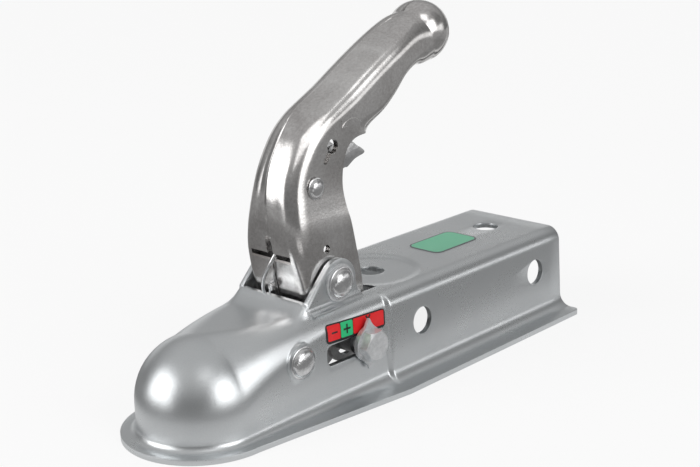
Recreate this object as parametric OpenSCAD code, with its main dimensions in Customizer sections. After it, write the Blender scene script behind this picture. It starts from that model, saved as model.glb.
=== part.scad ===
/* [Ball cup] */
// Radius of the towing ball that the cup takes
ball_r = 25; // [23:0.5:27]
// Play between the ball and the inside of the dome
ball_play = 0.6; // [0.3:0.1:1]
// Height of the ball's centre above the underside of the flange
ball_height = 15.8; // [15:0.1:18]
// Thickness of the pressed sheet of the housing
sheet_t = 2.5; // [2:0.1:3]

/* [Housing] */
// Distance from the ball's centre to the rear end of the drawbar channel
rear_x = 222; // [216:1:240]
// Distance from the ball's centre to the step in front of the drawbar channel
step_x = 86; // [84:0.5:87]
// Length of the slanted step in the side walls
step_len = 2.5; // [2:0.5:6]
// Outside half width of the front body at the step, level with the ball's centre
front_hw = 30; // [29.5:0.1:31]
// Outside half width of the drawbar channel, level with the ball's centre
channel_hw = 32; // [31.5:0.1:34]
// Outward lean of the side walls, in mm for each mm of height
wall_lean = 0.045; // [0.02:0.005:0.06]
// Height of the flat top above the ball's centre
top_z = 28.3; // [28:0.1:30]
// Radius of the bend between the top and the side walls
top_bend_r = 7; // [5:0.5:8]
// How quickly the round dome turns into the square shoulders behind it
shoulder_ease = 2.6; // [2:0.1:3.5]
// Radius of the bend between the side walls and the flange
flange_bend_r = 6.5; // [4:0.5:7]
// Radius of the bend between the dome and the flange
nose_bend_r = 3.5; // [2.5:0.5:4.5]
// Width of the flange round the dome
nose_flange_w = 6.8; // [6:0.2:9]
// Half width of the flange along the drawbar channel
flange_hw = 44.5; // [42:0.5:48]
// Radius of the rear corners of the flange
flange_corner_r = 3; // [1:0.5:6]

/* [Drawbar holes] */
// Diameter of the holes for the drawbar bolts
bolt_hole_d = 13; // [11:0.5:15]
// Distance from the ball's centre to the front holes
hole_front_x = 110; // [104:1:114]
// Distance between the front and the rear holes
hole_spacing = 90; // [80:1:96]
// Height of the side holes above the ball's centre
hole_z = 9.7; // [6:0.1:14]
// Radius of the shallow round pressing about the front top hole
pressing_r = 22; // [16:0.5:22]
// Depth of that pressing
pressing_depth = 0.8; // [0.4:0.1:1.2]

/* [Collar and ears] */
// Distance from the ball's centre to the lip in front of the lever
lip_x = 43.7; // [42:0.1:46]
// Height of the lip above the ball's centre
lip_z = 33.2; // [32:0.1:35]
// Length of the sloping front of the collar
collar_slope = 10; // [7:0.5:12]
// Distance from the ball's centre to the rear end of the opening for the lever
opening_rear_x = 92; // [90:0.5:94]
// Distance from the ball's centre to the lever's pivot
pivot_x = 65; // [64.8:0.1:65.2]
// Height of the lever's pivot above the ball's centre
pivot_z = 38; // [37.8:0.1:38.2]
// Radius of the ears about the pivot
ear_r = 10.8; // [10:0.1:12]
// Gap between each ear and the lever
ear_gap = 0.9; // [0.8:0.1:1.2]
// Radius of the bend at the foot of the ears
ear_foot_r = 2.6; // [2:0.1:3]

/* [Lever] */
// Outside half width of the lever at its pivot
lever_hw = 18; // [17.5:0.1:18.3]
// Outside half width of the lever at its grip
grip_hw = 14; // [13:0.1:14.4]
// Thickness of the lever's sheet
lever_t = 2.5; // [2:0.1:2.6]
// Radius of the long bends along the front of the lever
lever_bend_r = 9; // [8:0.1:9.5]
// Radius of the round grip end
grip_end_r = 14.6; // [14.2:0.1:15]
// Length of each arm of the cross-shaped cut, from the middle
cross_arm = 12; // [9:0.5:13]
// Width of the cross-shaped cut
cross_w = 3.2; // [2:0.1:3.6]
// Diameter of the round end of the key hole
key_d = 6.6; // [5:0.2:7.5]
// Width of the key hole's slot
key_slot_w = 2.6; // [2:0.1:3.2]
// Diameter of the small hole above the pivot
tell_hole_d = 4; // [3:0.2:5]
// Distance from the pivot up to that hole
tell_hole_rise = 15.4; // [14.6:0.2:18]
// Distance from the pivot forward to that hole
tell_hole_lead = 3.5; // [0:0.5:5]

/* [Rivets] */
// Diameter of the shanks of the two large rivets
rivet_d = 10; // [9:0.1:10.4]
// Diameter of their heads
rivet_head_d = 14.6; // [13:0.1:15.6]
// Height of their heads
rivet_head_h = 3.8; // [3:0.1:4.4]
// Thickness of the rings under the heads of the lever's rivet
ring_t = 0.9; // [0.6:0.1:1.4]
// Diameter of those rings
ring_d = 17; // [16:0.2:19]
// Distance from the ball's centre to the jaw's rivet
jaw_rivet_x = 33; // [32.5:0.1:33.5]
// Height of the jaw's rivet above the ball's centre
jaw_rivet_z = 12; // [11.5:0.1:12.5]
// Wall of the bush on the lever's rivet
lever_bush_t = 2; // [1.5:0.1:2.2]
// Wall of the bush and the spacers on the jaw's rivet
jaw_bush_t = 1.5; // [1:0.1:1.6]
// Running play on the radius of every pin in its hole
pin_play = 0.08; // [0.04:0.01:0.1]
// Gap around a rivet head or a ring in its spotface
seat_gap = 0.3; // [0.3:0.05:0.5]

/* [Clamping mechanism] */
// Distance from the ball's centre to the slide bolt when the lever is up
slide_x = 72.6; // [72.2:0.1:73]
// Height of the slide bolt above the ball's centre
slide_z = 9.4; // [9.2:0.1:9.6]
// Travel of the slide bolt
slide_travel = 19.6; // [15:0.1:19.8]
// Height of the slots in the side walls
slot_h = 9.4; // [9:0.1:10]
// Radius of the corners of those slots
slot_corner_r = 3; // [2:0.5:4]
// Diameter of the slide bolt
bolt_d = 8; // [7:0.1:8.2]
// Distance across the flats of its head and nut
bolt_flats = 13; // [12:0.1:14]
// Height of its head
bolt_head_h = 5.3; // [4.5:0.1:6]
// Height of its nut
nut_h = 6.5; // [5:0.1:7]
// Diameter of the washers
washer_d = 16; // [14:0.5:17]
// Thickness of the washers
washer_t = 0.9; // [0.6:0.1:1.6]
// Thickness of the pointer plate
pointer_t = 1.2; // [0.8:0.1:1.6]
// Distance from the middle of the pointer to each tip
pointer_tip = 11.8; // [10:0.1:12.5]
// Diameter of the sleeve on the slide bolt
sleeve_d = 12; // [11:0.1:12.2]
// Angle by which the ball jaw swings shut
jaw_swing = 12; // [9:1:12]
// Half width of the link between the slide bolt and the jaw
link_hw = 10; // [8:0.5:11]
// Radius of the link's nose
link_nose_r = 4.5; // [4:0.1:4.6]
// Half width of the ball jaw
jaw_hw = 15; // [13:0.5:15.2]
// Thickness of the jaw's cheeks
cheek_t = 2.5; // [2:0.1:3]

/* [Safety catch] */
// Distance from the ball's centre to the catch's rivet
catch_x = 59; // [58.5:0.1:59.5]
// Height of the catch's rivet above the ball's centre
catch_z = 81; // [80.5:0.1:81.5]
// Diameter of that rivet
catch_rivet_d = 6; // [5:0.1:6.4]
// Diameter of its heads
catch_head_d = 9.8; // [9:0.1:10.6]
// Height of its heads
catch_head_h = 2.6; // [2:0.1:3]
// Half width of the catch
catch_hw = 10.4; // [9.5:0.1:10.6]
// Thickness of the catch's sheet
catch_t = 2; // [1.5:0.1:2.2]
// Wall of the bush on its rivet
catch_bush_t = 1.2; // [1:0.1:1.3]

/* [Springs] */
// Wire of the lever's spring
lever_wire_d = 2.4; // [2:0.1:2.6]
// Gap between the lever's spring and its bush
lever_coil_gap = 1; // [0.6:0.1:1.2]
// Length of the lower leg of the lever's spring
lever_spring_lead = 6; // [4:0.5:7]
// Length of the upper leg of the lever's spring
lever_spring_tail = 9; // [6:0.5:10]
// Wire of the jaw's spring
jaw_wire_d = 1.8; // [1.4:0.1:2]
// Wire of the catch's spring
catch_wire_d = 1.2; // [0.8:0.1:1.3]
// Wire of the S-shaped detent
detent_wire_d = 1.6; // [1.2:0.1:1.8]

/* [Labels] */
// Length of the indicator scale
label_len = 37.2; // [30:0.5:37.2]
// Height of the indicator scale
label_h = 8.8; // [8:0.1:9.2]
// Length of the sticker on the rear top
decal_len = 33.5; // [24:0.5:36]
// Width of the sticker on the rear top
decal_w = 20.5; // [16:0.5:24]
// Radius of its corners
decal_corner_r = 4; // [2:0.5:6]
// Radius of the corners of the indicator scale
label_corner_r = 2; // [1:0.1:3]
// Thickness of the labels
label_t = 0.3; // [0.2:0.05:0.4]
// Gap between the middle of the flat scale and the curved wall behind it
label_gap = 0.18; // [0.16:0.01:0.3]
// Angle by which the scale drops towards the rear
label_drop = 2.7; // [0:0.1:3]

/* [Hidden] */
$fn = 48;
zinc = [0.76, 0.78, 0.79];
lever_zinc = [0.62, 0.61, 0.6];
bright = [0.85, 0.86, 0.87];
dark_steel = [0.4, 0.4, 0.42];

base_z = -ball_height;
flange_top = base_z + sheet_t;
dome_r = ball_r + ball_play + sheet_t;
crown_flat = 0.3;
catch_seat = 14.9;
channel_x = step_x + step_len;
ear_in = lever_hw + ear_gap;
ear_out = ear_in + sheet_t;
lever_in = lever_hw - lever_t;
hole_xs = [hole_front_x, hole_front_x + hole_spacing];
slot_front = slide_x - slide_travel - bolt_d / 2 - 0.4;
slot_rear = slide_x + bolt_d / 2 + 1;
slide_y = front_wall(slide_x + washer_d / 2) + 0.1;
jaw_pad_y = front_wall(jaw_rivet_x) + 0.35;
near_stack = slide_y + washer_t + pointer_t;
far_stack = slide_y + washer_t;

function mix(a, b, u) = a + (b - a) * u;
// Points along an arc in the section plane
function arc(c, r, a0, a1, n) = [for (i = [0:n]) c + r * [cos(mix(a0, a1, i / n)), sin(mix(a0, a1, i / n))]];
// Share of the way from the dome to the step
function along(x) = min(1, x / step_x);
function front_wall(x) = mix(dome_r, front_hw, pow(along(x), 2));
function front_lean(x) = wall_lean * along(x);
function wall_side(x, z) = front_wall(x) - front_lean(x) * z;

// Bend between wall and flange, held small enough to leave a flat edge on the flange
function foot_bend(r, hw, lean, edge) = min(r, (edge - 0.5 - hw + lean * flange_top) / (1 - lean));

// Half section of the pressed sheet, from the crown down to the flange.
// hw: half width at the ball's centre, top: height, r: upper bend, lean: of the wall,
// foot: lower bend, off: 0 for the outside and the sheet's thickness for the inside
function half_section(hw, top, r, lean, foot, off) =
    let (slant = sqrt(1 + lean * lean))
    let (tilt = atan(lean))
    let (upper = [hw - lean * (top - r) - r * slant, top - r])
    let (lower = [hw - lean * (flange_top + foot) + foot * slant, flange_top + foot])
    concat(arc(upper, r - off, 90, tilt, 9), arc(lower, foot + off, 180 + tilt, 270, 4));
function mirrored(points) = [for (i = [len(points) - 1:-1:0]) [-points[i].x, points[i].y]];
// Closed section of the sheet, flange edges included: along the outside, then back inside
function sheet_section(hw, top, r, lean, foot, edge) =
    let (outside = half_section(hw, top, r, lean, foot, 0))
    let (inside = half_section(hw, top, r, lean, foot, sheet_t))
    concat([[-edge, flange_top]], mirrored(outside), outside, [[edge, flange_top], [edge, base_z]],
        [for (p = mirrored(inside)) [-p.x, p.y]], [for (p = inside) [-p.x, p.y]], [[-edge, base_z]]);
function body_section(x) =
    let (u = along(x))
    let (edge = mix(dome_r + nose_flange_w, flange_hw, u))
    sheet_section(front_wall(x), mix(dome_r, top_z, u),
        mix(dome_r - crown_flat, top_bend_r, 1 - pow(1 - u, shoulder_ease)), front_lean(x),
        foot_bend(mix(nose_bend_r, flange_bend_r, u), front_wall(x), front_lean(x), edge), edge);
function channel_section() =
    sheet_section(channel_hw, top_z, top_bend_r, wall_lean,
        foot_bend(flange_bend_r, channel_hw, wall_lean, flange_hw), flange_hw);

// Solid through closed rings of points. Each ring runs along one face of a sheet and back along
// the other, so that the point k of the way out lies across from the point k of the way back
module skin(rings) {
    n = len(rings[0]);
    end = (len(rings) - 1) * n;
    points = [for (ring = rings) each ring];
    sides = [for (i = [0:len(rings) - 2]) for (j = [0:n - 1])
        [i * n + j, i * n + (j + 1) % n, (i + 1) * n + (j + 1) % n, (i + 1) * n + j]];
    caps = [for (k = [0:n / 2 - 2]) each
        [[n - 1 - k, n - 2 - k, k + 1, k], [end + k, end + k + 1, end + n - 2 - k, end + n - 1 - k]]];
    polyhedron(points, [for (q = concat(sides, caps)) each [[q[0], q[1], q[2]], [q[0], q[2], q[3]]]]);
}

// Cylinder along the width of the part, from y0 to y1
module cross_cylinder(x, z, y0, y1, d) {
    translate([x, y0, z]) rotate([-90, 0, 0]) cylinder(h = y1 - y0, d = d);
}

// Tube along the width of the part
module cross_tube(x, z, y0, y1, outer_d, inner_d) {
    difference() {
        cross_cylinder(x, z, y0, y1, outer_d);
        cross_cylinder(x, z, y0 - 1, y1 + 1, inner_d);
    }
}

// Plate with its outline in the side view, from y0 to y1
module side_plate(y0, y1) {
    translate([0, y1, 0]) rotate([90, 0, 0]) linear_extrude(height = y1 - y0) children();
}

// Rivet head: a rim and a dome, standing on z = 0
module rivet_head(d, h) {
    rim = h * 0.22;
    cap = h - rim;
    ball = (d * d / 4 + cap * cap) / (2 * cap);
    cylinder(h = rim, d = d);
    intersection() {
        translate([0, 0, h - ball]) sphere(r = ball);
        translate([0, 0, rim]) cylinder(h = h, d = d);
    }
}

// Rivet across the part with a head at each end
module cross_rivet(x, z, seat, d, head_d, head_h) {
    cross_cylinder(x, z, -seat, seat, d);
    translate([x, seat, z]) rotate([-90, 0, 0]) rivet_head(head_d, head_h);
    translate([x, -seat, z]) rotate([90, 0, 0]) rivet_head(head_d, head_h);
}

// Wire along a list of points, with one ring of eight points at each
module wire(path, d) {
    last = len(path) - 1;
    dirs = [for (i = [0:last]) let (v = path[min(last, i + 1)] - path[max(0, i - 1)]) v / norm(v)];
    skin([for (i = [0:last])
        let (ref = abs(dirs[i].y) < 0.8 ? [0, 1, 0] : [1, 0, 0])
        let (side = cross(dirs[i], ref))
        let (u = side / norm(side))
        let (v = cross(dirs[i], u))
        [for (j = [0:7]) path[i] + d / 2 * (cos(j * 45) * u + sin(j * 45) * v)]]);
}

// Torsion spring about an axis across the part, with a straight leg at each end.
// lead and tail: length of the legs, start: angle of the first leg's tangent point
module torsion_spring(x, z, r, d, turns, start, lead, tail, pitch) {
    steps = 14 * turns;
    half = turns * pitch / 2;
    coil = [for (i = [0:steps])
        let (a = start + i * 360 / 14)
        [x + r * cos(a), -half + i * pitch / 14, z + r * sin(a)]];
    a1 = start + steps * 360 / 14;
    first = coil[0] + lead * [sin(start), 0, -cos(start)];
    last = coil[steps] + tail * [-sin(a1), 0, cos(a1)];
    wire(concat([first], coil, [last]), d);
}

module nose() {
    section = body_section(0);
    half = [for (p = section) if (p.x > 0) p];
    rotate([0, 0, 90]) rotate_extrude(angle = 180, $fn = 96)
        polygon(concat([[0, dome_r]], half, [[0, dome_r - sheet_t]]));
}

module front_body() {
    stations = [0, 4, 8, 12, 17, 22, 28, 35, 43, 52, 62, 73, step_x];
    skin(concat([for (x = stations) [for (p = body_section(x)) [x, p.x, p.y]]],
        [[for (p = channel_section()) [channel_x, p.x, p.y]]]));
}

module channel() {
    translate([channel_x, 0, 0]) rotate([90, 0, 90]) linear_extrude(height = rear_x - channel_x)
        polygon(channel_section());
}

// One ear in the side view: tangent from the lip to the round about the pivot
module ear_outline() {
    foot = [lip_x + 1.3, lip_z + 0.2];
    reach = [pivot_x, pivot_z] - foot;
    rise = atan2(reach.y, reach.x) + asin(ear_r / norm(reach));
    touch = [pivot_x, pivot_z] + ear_r * [-sin(rise), cos(rise)];
    translate([pivot_x, pivot_z]) circle(r = ear_r, $fn = 72);
    polygon([[foot.x - 1.5, top_z - sheet_t], foot, touch, [pivot_x, pivot_z],
        [pivot_x + ear_r * 0.99, pivot_z - 1], [pivot_x + ear_r + 1.6, top_z + 3],
        [pivot_x + ear_r + 5, top_z], [pivot_x + ear_r + 5, top_z - sheet_t]]);
}

module ears() {
    for (side = [0, 1]) mirror([0, side, 0]) {
        side_plate(ear_in, ear_out) ear_outline();
        difference() {
            translate([lip_x + 1, ear_out - 1, top_z - 1])
                cube([pivot_x + ear_r + 2 - lip_x, ear_foot_r + 1, ear_foot_r + 1]);
            translate([lip_x, ear_out + ear_foot_r, top_z + ear_foot_r])
                rotate([0, 90, 0]) cylinder(h = pivot_x, r = ear_foot_r);
            cross_cylinder(pivot_x, pivot_z, ear_out, ear_out + ring_t + seat_gap, ring_d + 2 * seat_gap);
        }
    }
}

// Sloping front of the collar, up to the lip
module collar() {
    foot_x = lip_x - collar_slope;
    side_plate(-ear_out, ear_out) polygon([[foot_x, top_z - 1],
        [foot_x + collar_slope * 0.35, top_z + 0.5], [foot_x + collar_slope * 0.65, top_z + 2],
        [foot_x + collar_slope * 0.86, lip_z - 1.1], [lip_x, lip_z], [lip_x + sheet_t, lip_z],
        [lip_x + sheet_t, top_z - sheet_t], [lip_x - sheet_t, top_z - sheet_t]]);
}

module slot_cut() {
    low = slide_z - slot_h / 2;
    side_plate(-flange_hw, flange_hw) {
        translate([slot_front + slot_corner_r, low])
            square([slot_rear - slot_front - 2 * slot_corner_r, slot_h]);
        translate([slot_front, low + slot_corner_r])
            square([slot_rear - slot_front, slot_h - 2 * slot_corner_r]);
        for (x = [slot_front + slot_corner_r, slot_rear - slot_corner_r])
            for (z = [low + slot_corner_r, low + slot_h - slot_corner_r])
                translate([x, z]) circle(r = slot_corner_r, $fn = 32);
    }
}

module flange_corner_cut() {
    for (side = [0, 1]) mirror([0, side, 0])
        translate([rear_x - flange_corner_r, flange_hw - flange_corner_r, base_z - 1])
            difference() {
                cube([flange_corner_r + 1, flange_corner_r + 1, sheet_t + 2]);
                cylinder(h = sheet_t + 2, r = flange_corner_r);
            }
}

module housing() {
    color(zinc) difference() {
        union() {
            nose();
            front_body();
            channel();
            ears();
            collar();
            for (side = [0, 1]) mirror([0, side, 0])
                cross_cylinder(jaw_rivet_x, jaw_rivet_z, jaw_pad_y - sheet_t, jaw_pad_y, ring_d);
            translate([hole_xs[0], 0, top_z - sheet_t - pressing_depth])
                cylinder(h = sheet_t, r = pressing_r);
        }
        translate([lip_x + sheet_t, -ear_in, 0])
            cube([opening_rear_x - lip_x - sheet_t, 2 * ear_in, lip_z + ear_r * 2]);
        slot_cut();
        flange_corner_cut();
        cross_cylinder(pivot_x, pivot_z, -flange_hw, flange_hw, rivet_d + 2 * pin_play);
        cross_cylinder(jaw_rivet_x, jaw_rivet_z, -flange_hw, flange_hw, rivet_d + 2 * pin_play);
        translate([hole_xs[0], 0, top_z - pressing_depth]) cylinder(h = 5, r = pressing_r);
        for (x = hole_xs) {
            cross_cylinder(x, hole_z, -flange_hw, flange_hw, bolt_hole_d);
            translate([x, 0, 0]) cylinder(h = lip_z, d = bolt_hole_d);
        }
    }
}

// Side view of the lever. Each row: front point, rear point, half width (0 at the grip, 1 at the
// pivot), bend radius along the front, angle, length and lip of the rolled rear edge
lever_rows = [
    [[50, 28], [83.8, 28], 1, lever_bend_r, 0, 8, 0.8],
    [[47.6, 39], [82.4, 39], 1, lever_bend_r, 0, 8, 0.8],
    [[44.6, 52], [79.5, 52], 1, lever_bend_r, 0, 8, 0.8],
    [[43.2, 63], [77.6, 62.5], 0.85, lever_bend_r, 0, 8, 0.8],
    [[43.7, 72], [76, 70.5], 0.5, lever_bend_r, 0, 8, 0.8],
    [[44.8, 80], [75.5, 78], 0.2, lever_bend_r, 0, 8, 0.8],
    [[47.2, 88], [76.4, 85], 0.05, lever_bend_r, 0, 8, 0.8],
    [[51.3, 95.8], [78.2, 91], 0, lever_bend_r, 0, 8, 0.8],
    [[57.2, 103.8], [81, 95.8], 0, lever_bend_r, 0, 8, 0.8],
    [[65.2, 110.5], [85.5, 98.6], 0, lever_bend_r, 0, 8, 0.8],
    [[75.2, 115.9], [91.5, 99.6], 0, lever_bend_r, 0, 8, 0.8],
    [[85, 120.9], [97.6, 100.8], 0, lever_bend_r, 45, 8, 3],
    [[94.7, 126.4], [106.5, 105.2], 0, lever_bend_r, 90, 8, 6],
    [[104.4, 131.8], [115.6, 111.7], 0, lever_bend_r, 90, 8, 6],
    [[114.6, 137.1], [124.2, 119.8], 0, lever_bend_r, 90, 8, 6],
    [[124.5, 142.2], [132.5, 123.4], -0.1, 9.5, 90, 9, 5],
    [[131.4, 145.4], [139.4, 122.4], -0.1, 11, 90, 14, 2]];
grip_end = [147.1, 136.7];
end_tilt = 24;
// Row through the round end, at a polar angle from the line that leads into it
function end_row(a) =
    let (r = grip_end_r * sin(a))
    let (middle = grip_end - grip_end_r * cos(a) * [cos(end_tilt), sin(end_tilt)])
    let (up = [-sin(end_tilt), cos(end_tilt)])
    [middle + r * up, middle - r * up, (r - grip_hw) / (lever_hw - grip_hw), r - 0.3, 90,
        (r - 0.3) * PI / 2, 0.15];
function blend_rows(a, b, c, d, u) =
    [for (k = [0:6]) ((2 * b[k]) + (c[k] - a[k]) * u + (2 * a[k] - 5 * b[k] + 4 * c[k] - d[k]) * u * u
        + (3 * b[k] - a[k] - 3 * c[k] + d[k]) * u * u * u) / 2];
// Outline of the folded sheet on one side, as points [depth, width] with their outward normals
function fold(row, off) =
    let (hw = min(lever_hw, mix(grip_hw, lever_hw, row[2])))
    let (depth = norm(row[1] - row[0]))
    let (bend = row[3])
    let (curl = row[4])
    let (rc = row[5] * 180 / (PI * max(curl, 1)))
    let (start = depth - rc * sin(curl))
    concat([[off, 0]], arc([bend, hw - bend], bend - off, 180, 90, 6),
        curl < 1
            ? [for (i = [0:5]) [depth + row[6] + row[5] * (i / 5 - 1), hw - off]]
            : concat(arc([start, hw - rc], rc - off, 90, 90 - curl, 4),
                [[start + (rc - off) * sin(curl) + row[6] * cos(curl),
                    hw - rc + (rc - off) * cos(curl) - row[6] * sin(curl)]]));
function lever_ring(row) =
    let (axis = (row[1] - row[0]) / norm(row[1] - row[0]))
    let (outer = fold(row, 0))
    let (inner = fold(row, lever_t))
    let (n = len(outer) - 1)
    let (place = function (p, s) [row[0].x + axis.x * p.x, s * p.y, row[0].y + axis.y * p.x])
    concat([for (i = [n:-1:1]) place(outer[i], -1)], [for (i = [0:n]) place(outer[i], 1)],
        [for (i = [n:-1:1]) place(inner[i], 1)], [for (i = [0:n]) place(inner[i], -1)]);
function lever_rings() =
    let (rows = concat(lever_rows, [end_row(70)]))
    let (last = len(rows) - 1)
    concat([for (i = [0:last - 1]) for (u = [0, 0.5])
        lever_ring(blend_rows(rows[max(0, i - 1)], rows[i], rows[i + 1], rows[min(last, i + 2)], u))],
        [for (a = [70, 85, 100, 115, 130, 145, 158, 168]) lever_ring(end_row(a))]);

// Arm of the lever in the side view, with the slot that takes the sleeve
module arm_outline() {
    end = [slide_x + 0.1, slide_z - 0.2];
    end_r = sleeve_d / 2 + 5.4;
    difference() {
        union() {
            polygon([[50, 28], [end.x - end_r + 1.2, end.y + 5], end, [end.x + end_r, end.y],
                [84.6, 28]]);
            translate(end) circle(r = end_r);
        }
        for (lift = [-1, 0.9]) translate([end.x, end.y + lift]) circle(d = sleeve_d + 1.7);
        translate([end.x - sleeve_d / 2 - 0.85, end.y - 1]) square([sleeve_d + 1.7, 1.9]);
    }
}

module key_hole() {
    round_end = [71.3, 97.2];
    slot_end = [66.6, 91.2];
    run = slot_end - round_end;
    side_plate(-lever_hw - 1, lever_hw + 1) {
        translate(round_end) circle(d = key_d);
        translate(slot_end) circle(d = key_slot_w, $fn = 24);
        translate(round_end) rotate(atan2(run.y, run.x))
            translate([0, -key_slot_w / 2]) square([norm(run), key_slot_w]);
    }
}

module cross_cut() {
    z = 50.8;
    rise = 9.6;
    translate([40, -cross_arm, z - cross_w / 2]) cube([12, 2 * cross_arm, cross_w]);
    translate([40, -cross_w / 2, z]) cube([8, cross_w, rise]);
}

module handle() {
    color(lever_zinc) difference() {
        union() {
            skin(lever_rings());
            for (side = [0, 1]) mirror([0, side, 0]) side_plate(lever_in, lever_hw) arm_outline();
        }
        cross_cut();
        key_hole();
        cross_cylinder(pivot_x, pivot_z, -ear_in, ear_in, rivet_d + 2 * pin_play);
        cross_cylinder(catch_x, catch_z, -lever_hw, lever_hw, catch_rivet_d + 2 * pin_play);
        cross_cylinder(catch_x, catch_z, -lever_hw, -catch_seat, catch_head_d + 2 * seat_gap);
        cross_cylinder(catch_x, catch_z, catch_seat, lever_hw, catch_head_d + 2 * seat_gap);
        cross_cylinder(pivot_x - tell_hole_lead, pivot_z + tell_hole_rise, -ear_in, ear_in, tell_hole_d);
    }
}

module handle_rivet() {
    color(bright) cross_rivet(pivot_x, pivot_z, ear_out + ring_t, rivet_d, rivet_head_d, rivet_head_h);
}

module handle_rivet_rings() {
    color(bright) for (side = [0, 1]) mirror([0, side, 0])
        cross_tube(pivot_x, pivot_z, ear_out, ear_out + ring_t, ring_d, rivet_d + 2 * pin_play);
}

module handle_bush() {
    half = lever_in - 0.2;
    color(dark_steel) cross_tube(pivot_x, pivot_z, -half, half, rivet_d + 2 * lever_bush_t,
        rivet_d + 2 * pin_play);
}

module handle_spring() {
    r = rivet_d / 2 + lever_bush_t + lever_wire_d / 2 + lever_coil_gap;
    color(dark_steel) torsion_spring(pivot_x, pivot_z, r, lever_wire_d, 4, 215, lever_spring_lead,
        lever_spring_tail, lever_wire_d + 0.5);
}

module detent_wire() {
    color(bright) wire([[53.5, 0, 57.5], [49, 0, 57], [45, 0, 55.6], [42.4, 0.3, 53], [41.6, 0.9, 50],
        [42, 2.2, 47], [43.2, 3.9, 43.5], [44.8, 5.2, 40], [46.4, 5.6, 36.5],
        [47.6, 5.2, 33.2], [48.5, 4.4, 30.4]], detent_wire_d);
}

module catch_outline() {
    translate([catch_x, catch_z]) circle(r = catch_rivet_d / 2 + 2.6);
    translate([catch_x - 59, catch_z - 81]) {
        polygon([[56.5, 85.6], [70, 92], [80, 95.6], [85, 95.4], [88.6, 92.8], [94, 92.2], [95, 90.4],
            [91, 88.2], [87.5, 85.6], [83.5, 84.4], [72, 82.6], [63.5, 77.6], [60, 80]]);
        polygon([[54.4, 80], [63.4, 80], [64, 71.5], [67, 68.5], [62.5, 67.5], [58.5, 70]]);
    }
}

module safety_catch() {
    color(bright) difference() {
        union() {
            for (side = [0, 1]) mirror([0, side, 0])
                side_plate(catch_hw - catch_t, catch_hw) catch_outline();
            side_plate(-catch_hw, catch_hw) translate([catch_x - 59, catch_z - 81])
                polygon([[83.5, 84.4], [87.5, 85.6], [91, 88.2], [95, 90.4], [94, 92.2], [90, 90.2],
                    [86.6, 87.6], [83, 86.4]]);
        }
        cross_cylinder(catch_x, catch_z, -catch_hw - 1, catch_hw + 1, catch_rivet_d + 2 * pin_play);
    }
}

module catch_rivet() {
    color(bright) cross_rivet(catch_x, catch_z, catch_seat, catch_rivet_d, catch_head_d, catch_head_h);
}

module catch_bush() {
    half = catch_hw - catch_t - 0.2;
    color(dark_steel) cross_tube(catch_x, catch_z, -half, half, catch_rivet_d + 2 * catch_bush_t,
        catch_rivet_d + 2 * pin_play);
}

module catch_spring() {
    r = catch_rivet_d / 2 + catch_bush_t + catch_wire_d / 2 + 0.4;
    color(dark_steel) torsion_spring(catch_x, catch_z, r, catch_wire_d, 3, 150, 6, 8, catch_wire_d + 0.4);
}

module jaw_rivet() {
    color(bright) cross_rivet(jaw_rivet_x, jaw_rivet_z, jaw_pad_y, rivet_d, rivet_head_d, rivet_head_h);
}

module jaw_bush() {
    half = jaw_hw - cheek_t - 0.2;
    color(dark_steel) cross_tube(jaw_rivet_x, jaw_rivet_z, -half, half, rivet_d + 2 * jaw_bush_t,
        rivet_d + 2 * pin_play);
}

module jaw_spacers() {
    color(dark_steel) for (side = [0, 1]) mirror([0, side, 0])
        cross_tube(jaw_rivet_x, jaw_rivet_z, jaw_hw + 0.2, jaw_pad_y - sheet_t - 1.6,
            rivet_d + 2 * jaw_bush_t, rivet_d + 2 * pin_play);
}

module jaw_spring() {
    r = rivet_d / 2 + jaw_bush_t + jaw_wire_d / 2 + seat_gap;
    color(dark_steel) swung() torsion_spring(jaw_rivet_x, jaw_rivet_z, r, jaw_wire_d, 4, 200, 4, 6,
        jaw_wire_d + 0.4);
}

// Turns a piece of the jaw from shut to open about the jaw's rivet
module swung() {
    translate([jaw_rivet_x, 0, jaw_rivet_z]) rotate([0, -jaw_swing, 0])
        translate([-jaw_rivet_x, 0, -jaw_rivet_z]) children();
}

module ball_jaw() {
    foot = base_z + 2;
    color(dark_steel) swung() difference() {
        union() {
            for (side = [0, 1]) mirror([0, side, 0]) side_plate(jaw_hw - cheek_t, jaw_hw) {
                translate([jaw_rivet_x, jaw_rivet_z]) circle(r = rivet_d / 2 + 4);
                polygon([[jaw_rivet_x - 8.6, jaw_rivet_z - 3], [jaw_rivet_x + 8.6, jaw_rivet_z - 3],
                    [34, -4], [34, foot], [12, foot], [18, -2]]);
            }
            side_plate(-jaw_hw, jaw_hw) polygon([[16, -1.5], [34, -1.5], [34, foot], [12, foot]]);
        }
        sphere(r = ball_r + 0.3, $fn = 96);
        cross_cylinder(jaw_rivet_x, jaw_rivet_z, -jaw_hw - 1, jaw_hw + 1, rivet_d + 2 * pin_play);
    }
}

module slide_bolt() {
    tip = far_stack + nut_h + 2;
    color(bright) {
        cross_cylinder(slide_x, slide_z, -near_stack, tip, bolt_d);
        intersection() {
            translate([slide_x, -near_stack, slide_z]) rotate([90, 0, 0])
                cylinder(h = bolt_head_h, d = bolt_flats / cos(30), $fn = 6);
            translate([slide_x, -near_stack - bolt_head_h, slide_z]) rotate([-90, 0, 0])
                cylinder(h = bolt_head_h, d1 = bolt_flats - 0.4, d2 = bolt_flats + 11);
        }
    }
}

// Flank of the pointer: an arc from the tip that runs smoothly into the round washer at an angle
function pointer_flank(angle) =
    let (way = [cos(angle), sin(angle)])
    let (tip = [0.5, pointer_tip])
    let (r = washer_d / 2)
    let (reach = (r * r - tip * tip) / (2 * (r - way * tip)))
    let (c = reach * way)
    arc(c, reach - r, atan2(tip.y - c.y, tip.x - c.x) + 360, angle + 180, 6);

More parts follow.
